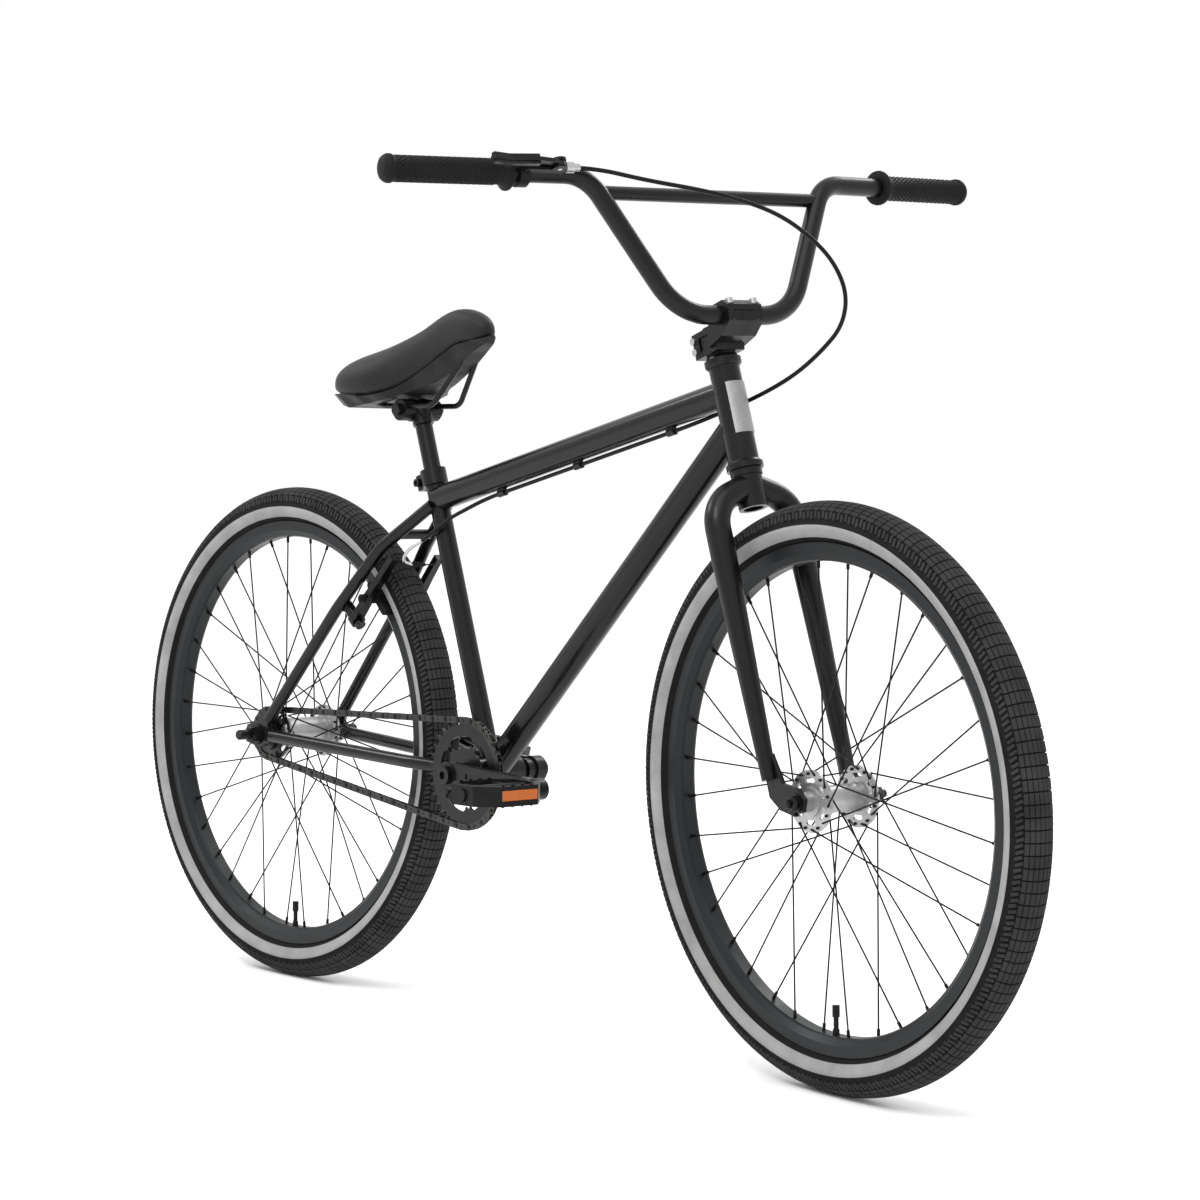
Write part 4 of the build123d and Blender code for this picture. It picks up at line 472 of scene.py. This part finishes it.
def finish_piece(
    mesh: bmesh.types.BMesh, name: str, body: str, replaced: tuple[str, ...], smooth: bool = True
) -> bpy.types.Object:
    """Turn a bmesh into a piece that rides on a body.

    Args:
        mesh: The shape, in the row's frame; it is freed.
        name: The piece's name.
        body: The CAD body it rides on.
        replaced: The CAD nodes it stands for.
        smooth: Whether its faces are shaded smooth.

    Returns:
        The new object.
    """
    bmesh.ops.remove_doubles(mesh, verts=mesh.verts, dist=1e-6)
    bmesh.ops.recalc_face_normals(mesh, faces=mesh.faces)
    for face in mesh.faces:
        face.smooth = smooth
    data = bpy.data.meshes.new(name)
    mesh.to_mesh(data)
    mesh.free()
    piece = bpy.data.objects.new(name, data)
    bpy.context.scene.collection.objects.link(piece)
    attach(piece, body)
    if replaced:
        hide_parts(*replaced)
    return piece


def spun_profile(points: list[tuple[float, float]], steps: int, closed: bool) -> bmesh.types.BMesh:
    """Spin a profile of radius and height about Z.

    Args:
        points: The profile, as radius and height.
        steps: How many steps the full turn has.
        closed: Whether the profile's last point joins its first.

    Returns:
        The spun shape.
    """
    mesh = bmesh.new()
    corners = [mesh.verts.new((radius, 0.0, height)) for radius, height in points]
    edges = [mesh.edges.new(pair) for pair in zip(corners, corners[1:])]
    if closed:
        edges.append(mesh.edges.new((corners[-1], corners[0])))
    bmesh.ops.spin(
        mesh, geom=corners + edges, cent=(0, 0, 0), axis=(0, 0, 1), angle=2 * pi, steps=steps,
        use_merge=True, use_normal_flip=False, use_duplicate=False,
    )
    return mesh


def wheel_place(node: str, turn: float, tilt: float) -> Matrix:
    """Where a wheel made about Z stands.

    Args:
        node: The CAD node whose box gives the centre.
        turn: The steering angle, in degrees.
        tilt: The head angle, in degrees.

    Returns:
        The matrix from the wheel's own frame to the row's.
    """
    low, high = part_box(node)
    centre = (low + high) / 2
    axis = Vector((-cos(radians(tilt)), 0.0, sin(radians(tilt))))
    steer = Matrix.Rotation(radians(turn), 4, axis)
    return Matrix.Translation(centre) @ steer @ Matrix.Rotation(radians(90), 4, "X")


# ---------------------------------------------------------------- tyres
@dataclass
class Tyre:
    """A tyre with a grid of tread blocks, slashed shoulders and a pale band on each side."""

    name: str
    body: str
    node: str
    turn: float = 0.0
    head_angle: float = 72.0
    section_middle: float = 0.3050
    section_radius: float = 0.02595
    groove: float = 0.0020
    rim_radius: float = 0.2855
    bead_depth: float = 0.0077
    bead_height: float = 0.0134
    band_low: float = 0.2912
    band_high: float = 0.3052
    rows: int = 8
    row_pitch: float = 13.0
    blocks_round: int = 156
    block_width: float = 0.0050
    block_share: float = 0.88
    block_depth: float = 0.0030
    rib_size: tuple[float, float, float] = (0.0026, 0.0036, 0.0090)
    rib_slant: float = 22.0
    edge_bevel: float = 0.0004
    rib_lean: float = 62.0
    steps: int = 156

    def on_section(self, lean: float, radius: float) -> tuple[float, float]:
        """A place on the round part of the section.

        Args:
            lean: The angle from the crown, in degrees.
            radius: The distance from the section's middle.

        Returns:
            The radius from the axle and the height from the wheel's plane.
        """
        return self.section_middle + radius * cos(radians(lean)), radius * sin(radians(lean))

    def profile(self) -> list[tuple[float, float]]:
        """The carcass from its right bead to its left one, as radius and height.

        Returns:
            The profile's points.
        """
        inner = self.section_radius - self.groove
        bead = self.rim_radius - self.bead_depth
        side = [
            (bead, self.bead_height - 0.003),
            (bead, self.bead_height),
            (self.rim_radius + 0.0008, self.bead_height),
            (self.rim_radius + 0.0016, self.bead_height + 0.0012), (self.rim_radius + 0.0036, 0.0176),
            (self.band_low - 0.0003, 0.0203), (self.band_low, 0.0208), (0.2965, 0.02385), (0.3005, 0.02525),
            (self.band_high, 0.02590), (self.band_high + 0.0003, 0.02545),
        ]
        crown = [self.on_section(lean, inner) for lean in range(84, 0, -7)]
        half = side + crown
        mirrored = [(radius, -height) for radius, height in half[::-1]]
        return half + [(self.section_middle + inner, 0.0)] + mirrored

    def raised(
        self, mesh: bmesh.types.BMesh, lean: float, size: tuple[float, float, float], slant: float, share: float
    ) -> None:
        """Add one raised block to a slice of the tread.

        Args:
            mesh: The slice.
            lean: The block's angle from the crown, in degrees.
            size: Its height, its length round the tyre and its width.
            slant: How far it is turned on the surface, in degrees.
            share: Its place within the pitch, from 0 to 1.
        """
        made = bmesh.ops.create_cube(mesh, size=1.0)["verts"]
        bmesh.ops.scale(mesh, vec=size, verts=made)
        top = [vert for vert in made if vert.co.x > 0]
        rim = list({edge for vert in top for edge in vert.link_edges if edge.other_vert(vert) in top})
        bevelled = bmesh.ops.bevel(
            mesh, geom=rim, offset=self.edge_bevel, affect="EDGES", segments=1, profile=0.5, material=-1
        )["verts"]
        whole = list({vert for vert in made + bevelled if vert.is_valid})
        bmesh.ops.rotate(mesh, cent=(0, 0, 0), matrix=Matrix.Rotation(radians(slant), 3, "X"), verts=whole)
        bmesh.ops.rotate(mesh, cent=(0, 0, 0), matrix=Matrix.Rotation(radians(-lean), 3, "Y"), verts=whole)
        radius, height = self.on_section(lean, self.section_radius - size[0] / 2)
        bmesh.ops.translate(mesh, vec=(radius, 0, height), verts=whole)
        turn = Matrix.Rotation(2 * pi / self.blocks_round * share, 3, "Z")
        bmesh.ops.rotate(mesh, cent=(0, 0, 0), matrix=turn, verts=whole)

    def repeated(self, mesh: bmesh.types.BMesh) -> bmesh.types.BMesh:
        """Copy one pitch of the tread round the tyre.

        Args:
            mesh: The slice; it grows to the whole tread.

        Returns:
            The same mesh.
        """
        bmesh.ops.spin(
            mesh, geom=mesh.verts[:] + mesh.edges[:] + mesh.faces[:], cent=(0, 0, 0), axis=(0, 0, 1),
            angle=2 * pi * (self.blocks_round - 1) / self.blocks_round, steps=self.blocks_round - 1,
            use_duplicate=True, use_merge=False, use_normal_flip=False,
        )
        return mesh

    def blocks(self) -> bmesh.types.BMesh:
        """The grid of blocks across the crown.

        Returns:
            All the blocks.
        """
        mesh = bmesh.new()
        for row in range(self.rows):
            lean = (row - (self.rows - 1) / 2) * self.row_pitch
            radius, _ = self.on_section(lean, self.section_radius)
            length = 2 * pi * radius / self.blocks_round * self.block_share
            self.raised(mesh, lean, (self.block_depth, length, self.block_width), 0.0, 0.5)
        return self.repeated(mesh)

    def shoulder_ribs(self) -> bmesh.types.BMesh:
        """Two slanted ribs for each pitch on both shoulders.

        Returns:
            All the ribs.
        """
        mesh = bmesh.new()
        for side in Side:
            for share in (0.25, 0.75):
                lean = (self.rib_lean + (3.0 if share > 0.5 else 0.0)) * side.value
                self.raised(mesh, lean, self.rib_size, self.rib_slant * side.value, share)
        return self.repeated(mesh)

    def build(self, finisher: Finisher) -> list[bpy.types.Object]:
        """Make the carcass and its tread.

        Args:
            finisher: What dresses the pieces.

        Returns:
            The pieces.
        """
        place = wheel_place(self.node, self.turn, self.head_angle)
        carcass = spun_profile(self.profile(), self.steps, True)
        for face in carcass.faces:
            centre = face.calc_center_median()
            radius = Vector((centre.x, centre.y)).length
            pale = self.band_low <= radius <= self.band_high and abs(centre.z) > self.bead_height
            face.material_index = 1 if pale else 0
        bmesh.ops.transform(carcass, matrix=place, verts=carcass.verts)
        body = finish_piece(carcass, self.name + "_carcass", self.body, (self.node,))
        finisher.dress(body, TYRE_BLACK, TYRE_BAND)
        pieces = [body]
        for suffix, maker in (("_blocks", self.blocks), ("_shoulder_ribs", self.shoulder_ribs)):
            mesh = maker()
            bmesh.ops.transform(mesh, matrix=place, verts=mesh.verts)
            piece = finish_piece(mesh, self.name + suffix, self.body, (), smooth=False)
            finisher.dress(piece, TREAD_BLACK)
            pieces.append(piece)
        return pieces


# ---------------------------------------------------------------- saddle
@dataclass
class Saddle:
    """The padded cover of the saddle."""

    voxel: float = 0.0042
    pressure: float = 3.0
    cap: float = 0.005
    frames: int = 14
    shrink: float = 0.965
    smoothings: int = 5
    stiffness: float = 25.0
    bending: float = 4.0

    def build(self, finisher: Finisher) -> bpy.types.Object:
        """Args:
            finisher: What dresses it.

        Returns:
            The cover.
        """
        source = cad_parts["saddle_cover"]
        mesh = bmesh.new()
        mesh.from_mesh(source.data)
        bmesh.ops.remove_doubles(mesh, verts=mesh.verts, dist=1e-5)
        low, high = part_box("saddle_cover")
        centre = (low + high) / 2
        bmesh.ops.translate(mesh, vec=-centre, verts=mesh.verts)
        bmesh.ops.scale(mesh, vec=(self.shrink,) * 3, verts=mesh.verts)
        bmesh.ops.translate(mesh, vec=centre, verts=mesh.verts)
        cover = finish_piece(mesh, "saddle_padded_cover", "saddle", ("saddle_cover",))
        self.remesh(cover)
        self.inflate(cover)
        self.soften(cover)
        finisher.dress(cover, SADDLE_VINYL)
        return cover

    def remesh(self, cover: bpy.types.Object) -> None:
        """Give the cover even faces."""
        modifier = cover.modifiers.new("even", "REMESH")
        modifier.mode = "VOXEL"
        modifier.voxel_size = self.voxel
        self.apply(cover)

    def apply(self, cover: bpy.types.Object) -> None:
        """Replace the cover's mesh by what its modifiers make."""
        graph = bpy.context.evaluated_depsgraph_get()
        made = bpy.data.meshes.new_from_object(cover.evaluated_get(graph))
        cover.modifiers.clear()
        cover.data = made
        for polygon in made.polygons:
            polygon.use_smooth = True

    def inflate(self, cover: bpy.types.Object) -> None:
        """Blow the skin up a little as cloth, and cap how far each point goes."""
        rest = [vertex.co.copy() for vertex in cover.data.vertices]
        modifier = cover.modifiers.new("stuffing", "CLOTH")
        settings = modifier.settings
        settings.use_pressure = True
        settings.uniform_pressure_force = self.pressure
        settings.effector_weights.gravity = 0.0
        settings.tension_stiffness = self.stiffness
        settings.compression_stiffness = self.stiffness
        settings.bending_stiffness = self.bending
        modifier.point_cache.frame_start = 1
        modifier.point_cache.frame_end = self.frames
        scene = bpy.context.scene
        for number in range(1, self.frames + 1):
            scene.frame_set(number)
        self.apply(cover)
        scene.frame_set(1)
        low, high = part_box("saddle_cover")
        floor = low.z + 0.0005
        for vertex, start in zip(cover.data.vertices, rest):
            moved = vertex.co - start
            if moved.length > self.cap:
                vertex.co = start + moved.normalized() * self.cap
            vertex.co.z = max(vertex.co.z, floor)

    def soften(self, cover: bpy.types.Object) -> None:
        """Smooth the voxel steps away."""
        mesh = bmesh.new()
        mesh.from_mesh(cover.data)
        for _ in range(self.smoothings):
            bmesh.ops.smooth_vert(
                mesh, verts=mesh.verts, factor=0.5, use_axis_x=True, use_axis_y=True, use_axis_z=True
            )
        mesh.to_mesh(cover.data)
        mesh.free()
        for polygon in cover.data.polygons:
            polygon.use_smooth = True


# ---------------------------------------------------------------- grips
@dataclass
class Grip:
    """A flanged grip with rows of small diamond studs, an end ring and a domed end."""

    side: Side
    radius: float = 0.0142
    overhang: float = 0.0035
    length: float = 0.152
    flange: float = 0.0209
    bore: float = 0.0113
    steps: int = 64
    stud_radius: float = 0.0019
    stud_height: float = 0.0009
    studs_round: int = 20
    stud_pitch: float = 0.0038

    def profile(self) -> list[tuple[float, float]]:
        """The grip from its end's middle to its flange's bore, as radius and distance.

        Returns:
            The profile's points.
        """
        reach = self.length
        return [
            (0.0, -0.0034), (0.0098, -0.0034), (0.0104, -0.0031), (0.0130, -0.0018), (0.0150, 0.0008),
            (0.0160, 0.0030), (0.0162, 0.0056), (0.0160, 0.0076), (self.radius + 0.0004, 0.0086),
            (self.radius, 0.0092), (self.radius, reach - 0.0110), (self.radius + 0.0018, reach - 0.0076),
            (self.flange - 0.0014, reach - 0.0066), (self.flange - 0.0003, reach - 0.0054),
            (self.flange, reach - 0.0036), (self.flange - 0.0003, reach - 0.0018),
            (self.flange - 0.0014, reach - 0.0006), (self.radius + 0.001, reach - 0.0002),
            (self.bore, reach - 0.0002),
        ]

    def studs(self) -> bmesh.types.BMesh:
        """The rows of studs, staggered from row to row.

        Returns:
            All the studs.
        """
        mesh = bmesh.new()
        count = int((self.length - 0.030) / self.stud_pitch)
        for row in range(count):
            made = bmesh.ops.create_cone(
                mesh, cap_ends=True, segments=4, radius1=self.stud_radius, radius2=self.stud_radius * 0.5,
                depth=self.stud_height,
            )["verts"]
            bmesh.ops.scale(mesh, vec=(1.25, 0.95, 1.0), verts=made)
            bmesh.ops.rotate(mesh, cent=(0, 0, 0), matrix=Matrix.Rotation(radians(90), 3, "Y"), verts=made)
            place = (self.radius + self.stud_height * 0.3, 0, 0.0135 + row * self.stud_pitch)
            bmesh.ops.translate(mesh, vec=place, verts=made)
            turn = Matrix.Rotation(pi / self.studs_round * (row % 2), 3, "Z")
            bmesh.ops.rotate(mesh, cent=(0, 0, 0), matrix=turn, verts=made)
        bmesh.ops.spin(
            mesh, geom=mesh.verts[:] + mesh.edges[:] + mesh.faces[:], cent=(0, 0, 0), axis=(0, 0, 1),
            angle=2 * pi * (self.studs_round - 1) / self.studs_round, steps=self.studs_round - 1,
            use_duplicate=True, use_merge=False, use_normal_flip=False,
        )
        return mesh

    def axis(self) -> tuple[Vector, Vector]:
        """Where the bar ends inside the grip, and the direction from there towards the stem.

        Returns:
            The place and the direction.
        """
        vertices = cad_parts["grips"].data.vertices
        points = np.array([vertex.co for vertex in vertices if vertex.co.y * self.side.value > 0])
        middle = points.mean(axis=0)
        inward = np.linalg.svd(points - middle, full_matrices=False)[2][0]
        if inward[1] * self.side.value > 0:
            inward = -inward
        along = (points - middle) @ inward
        tip = points[along < along.min() + 0.0005]
        centre = (tip.min(axis=0) + tip.max(axis=0)) / 2
        return Vector(centre + inward * self.overhang), Vector(inward)

    def build(self, finisher: Finisher) -> list[bpy.types.Object]:
        """Make the grip on its end of the bar.

        Args:
            finisher: What dresses it.

        Returns:
            The sleeve and its studs.
        """
        end, inward = self.axis()
        place = Matrix.Translation(end) @ Vector((0, 0, 1)).rotation_difference(inward).to_matrix().to_4x4()
        name = "grip_" + self.side.name.lower()
        pieces = []
        sleeve = spun_profile(self.profile(), self.steps, False)
        for mesh, suffix, smooth in ((sleeve, "_sleeve", True), (self.studs(), "_studs", False)):
            bmesh.ops.transform(mesh, matrix=place, verts=mesh.verts)
            replaced = ("grips",) if suffix == "_sleeve" else ()
            piece = finish_piece(mesh, name + suffix, "steering", replaced, smooth)
            finisher.dress(piece, GRIP_BLACK)
            pieces.append(piece)
        return pieces


# ---------------------------------------------------------------- cable loop
@dataclass
class CableLoop:
    """The free loop of brake housing in front of the bars."""

    radius: float = 0.0025
    route: list[tuple[float, float, float]] = field(default_factory=lambda: [
        (0.2787, -0.2071, 1.0265), (0.2856, -0.1759, 1.0275), (0.316, -0.128, 1.016), (0.348, -0.076, 1.0075),
        (0.376, -0.036, 0.997), (0.405, -0.004, 0.981), (0.427, 0.025, 0.956), (0.443, 0.046, 0.928),
        (0.450, 0.060, 0.893), (0.438, 0.065, 0.858), (0.411, 0.061, 0.831), (0.379, 0.053, 0.805),
        (0.343, 0.041, 0.784), (0.304, 0.025, 0.7655), (0.2627, 0.0, 0.7456), (0.2341, 0.0, 0.7385),
    ])

    def swept(self, bevel: float) -> bpy.types.Mesh:
        """The route as a smooth line, or as a tube.

        Args:
            bevel: The tube's radius, or 0 for the line alone.

        Returns:
            The mesh.
        """
        curve = bpy.data.curves.new("cable_route", "CURVE")
        curve.dimensions = "3D"
        curve.resolution_u = 12
        curve.bevel_depth = bevel
        curve.bevel_resolution = 4
        curve.use_fill_caps = bevel > 0.0
        spline = curve.splines.new("NURBS")
        spline.points.add(len(self.route) - 1)
        for point, place in zip(spline.points, self.route):
            point.co = (*place, 1.0)
        spline.order_u = 3
        spline.use_endpoint_u = True
        holder = bpy.data.objects.new("cable_route", curve)
        bpy.context.scene.collection.objects.link(holder)
        graph = bpy.context.evaluated_depsgraph_get()
        data = bpy.data.meshes.new_from_object(holder.evaluated_get(graph))
        bpy.data.objects.remove(holder)
        return data

    def build(self, finisher: Finisher) -> bpy.types.Object:
        """Make the housing, which bends between the bars and the frame.

        Args:
            finisher: What dresses it.

        Returns:
            The housing.
        """
        line = [vertex.co.copy() for vertex in self.swept(0.0).vertices]
        data = self.swept(self.radius)
        for polygon in data.polygons:
            polygon.use_smooth = True
        piece = bpy.data.objects.new("brake_housing_loop", data)
        bpy.context.scene.collection.objects.link(piece)
        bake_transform(piece)
        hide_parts("brake_cable_loop")
        finisher.dress(piece, HOUSING_BLACK)
        return piece


# ---------------------------------------------------------------- studio
@dataclass
class Studio:
    """The camera, the lights and the floor."""

    yaw: float = 48.1
    pitch: float = 2.5
    roll: float = 0.8
    lens: float = 91.68
    place: tuple[float, float, float] = (2.8420, -2.4548, 0.6955)

    def camera(self) -> None:
        """Set the camera."""
        data = bpy.data.cameras.new("camera")
        data.lens = self.lens
        data.sensor_width = 36.0
        data.clip_end = 60.0
        yaw, pitch, roll = radians(self.yaw), radians(self.pitch), radians(self.roll)
        back = Vector((sin(yaw) * cos(pitch), -cos(yaw) * cos(pitch), sin(pitch)))
        right = Vector((cos(yaw), sin(yaw), 0.0))
        up = back.cross(right)
        turned_right = right * cos(roll) + up * sin(roll)
        turned_up = up * cos(roll) - right * sin(roll)
        basis = Matrix((turned_right, turned_up, back)).transposed().to_4x4()
        camera = bpy.data.objects.new("camera", data)
        camera.matrix_world = Matrix.Translation(Vector(self.place)) @ basis
        bpy.context.scene.collection.objects.link(camera)
        bpy.context.scene.camera = camera

    def light(self, name: str, place: tuple[float, float, float], size: float, power: float) -> None:
        """Add a soft square light that points at the bicycle's middle.

        Args:
            name: The light's name.
            place: Where it hangs.
            size: Its side, in metres.
            power: Its power, in watts.
        """
        data = bpy.data.lights.new(name, "AREA")
        data.shape = "SQUARE"
        data.size = size
        data.energy = power
        lamp = bpy.data.objects.new(name, data)
        aim = Vector((0.0, 0.0, 0.5)) - Vector(place)
        turn = aim.to_track_quat("-Z", "Y").to_matrix().to_4x4()
        lamp.matrix_world = Matrix.Translation(Vector(place)) @ turn
        bpy.context.scene.collection.objects.link(lamp)

    def sun(self) -> None:
        """Add a broad overhead light that reaches the whole floor alike."""
        data = bpy.data.lights.new("overhead", "SUN")
        data.energy = 0.9
        data.angle = radians(50)
        lamp = bpy.data.objects.new("overhead", data)
        lamp.matrix_world = Vector((-0.25, 0.35, -1.0)).to_track_quat("-Z", "Y").to_matrix().to_4x4()
        bpy.context.scene.collection.objects.link(lamp)

    def floor(self) -> None:
        """Lay a pale floor."""
        mesh = bmesh.new()
        bmesh.ops.create_circle(mesh, cap_ends=True, segments=96, radius=40.0)
        data = bpy.data.meshes.new("floor")
        mesh.to_mesh(data)
        mesh.free()
        plane = bpy.data.objects.new("floor", data)
        bpy.context.scene.collection.objects.link(plane)
        tree = NodeTree("pale_floor")
        grain = tree.noise(tree.coordinates(), 3.0, 2.0)
        pale = tree.ramp(grain, (0.3, (0.93, 0.93, 0.93)), (0.7, (0.95, 0.95, 0.95)))
        tree.join(pale, tree.shader.inputs["Base Color"])
        tree.set(Roughness=0.9, Specular_IOR_Level=0.05)
        data.materials.append(tree.material)

    def world(self) -> None:
        """Set an even white sky."""
        world = bpy.data.worlds.new("studio")
        world.use_nodes = True
        background = world.node_tree.nodes["Background"]
        background.inputs["Color"].default_value = (1.0, 1.0, 1.0, 1.0)
        background.inputs["Strength"].default_value = 1.0
        bpy.context.scene.world = world

    def build(self) -> None:
        """Set up the whole studio."""
        self.camera()
        self.floor()
        self.world()
        self.sun()
        self.light("key", (1.4, -2.8, 3.6), 1.6, 60.0)
        self.light("edge", (-2.6, -1.6, 3.0), 1.2, 40.0)
        self.light("back", (-0.6, 3.4, 3.2), 1.6, 50.0)


def main() -> None:
    """Build the studio and every piece."""
    logging.basicConfig(level=logging.INFO, format="%(name)s: %(message)s")
    bpy.context.scene.view_settings.view_transform = "Standard"
    Studio().build()
    finisher = Finisher()
    finisher.dress_nodes()
    makers = [
        Tyre("front_tyre", "front_wheel", "front_tyre", turn=-6.0),
        Tyre("rear_tyre", "rear_wheel", "rear_tyre"),
        Saddle(),
        CableLoop(),
    ]
    makers += [Grip(side) for side in Side]
    for maker in makers:
        made = maker.build(finisher)
        pieces = made if isinstance(made, list) else [made]
        LOG.info("made %s", ", ".join(piece.name for piece in pieces))


if __name__ == "__main__":
    main()
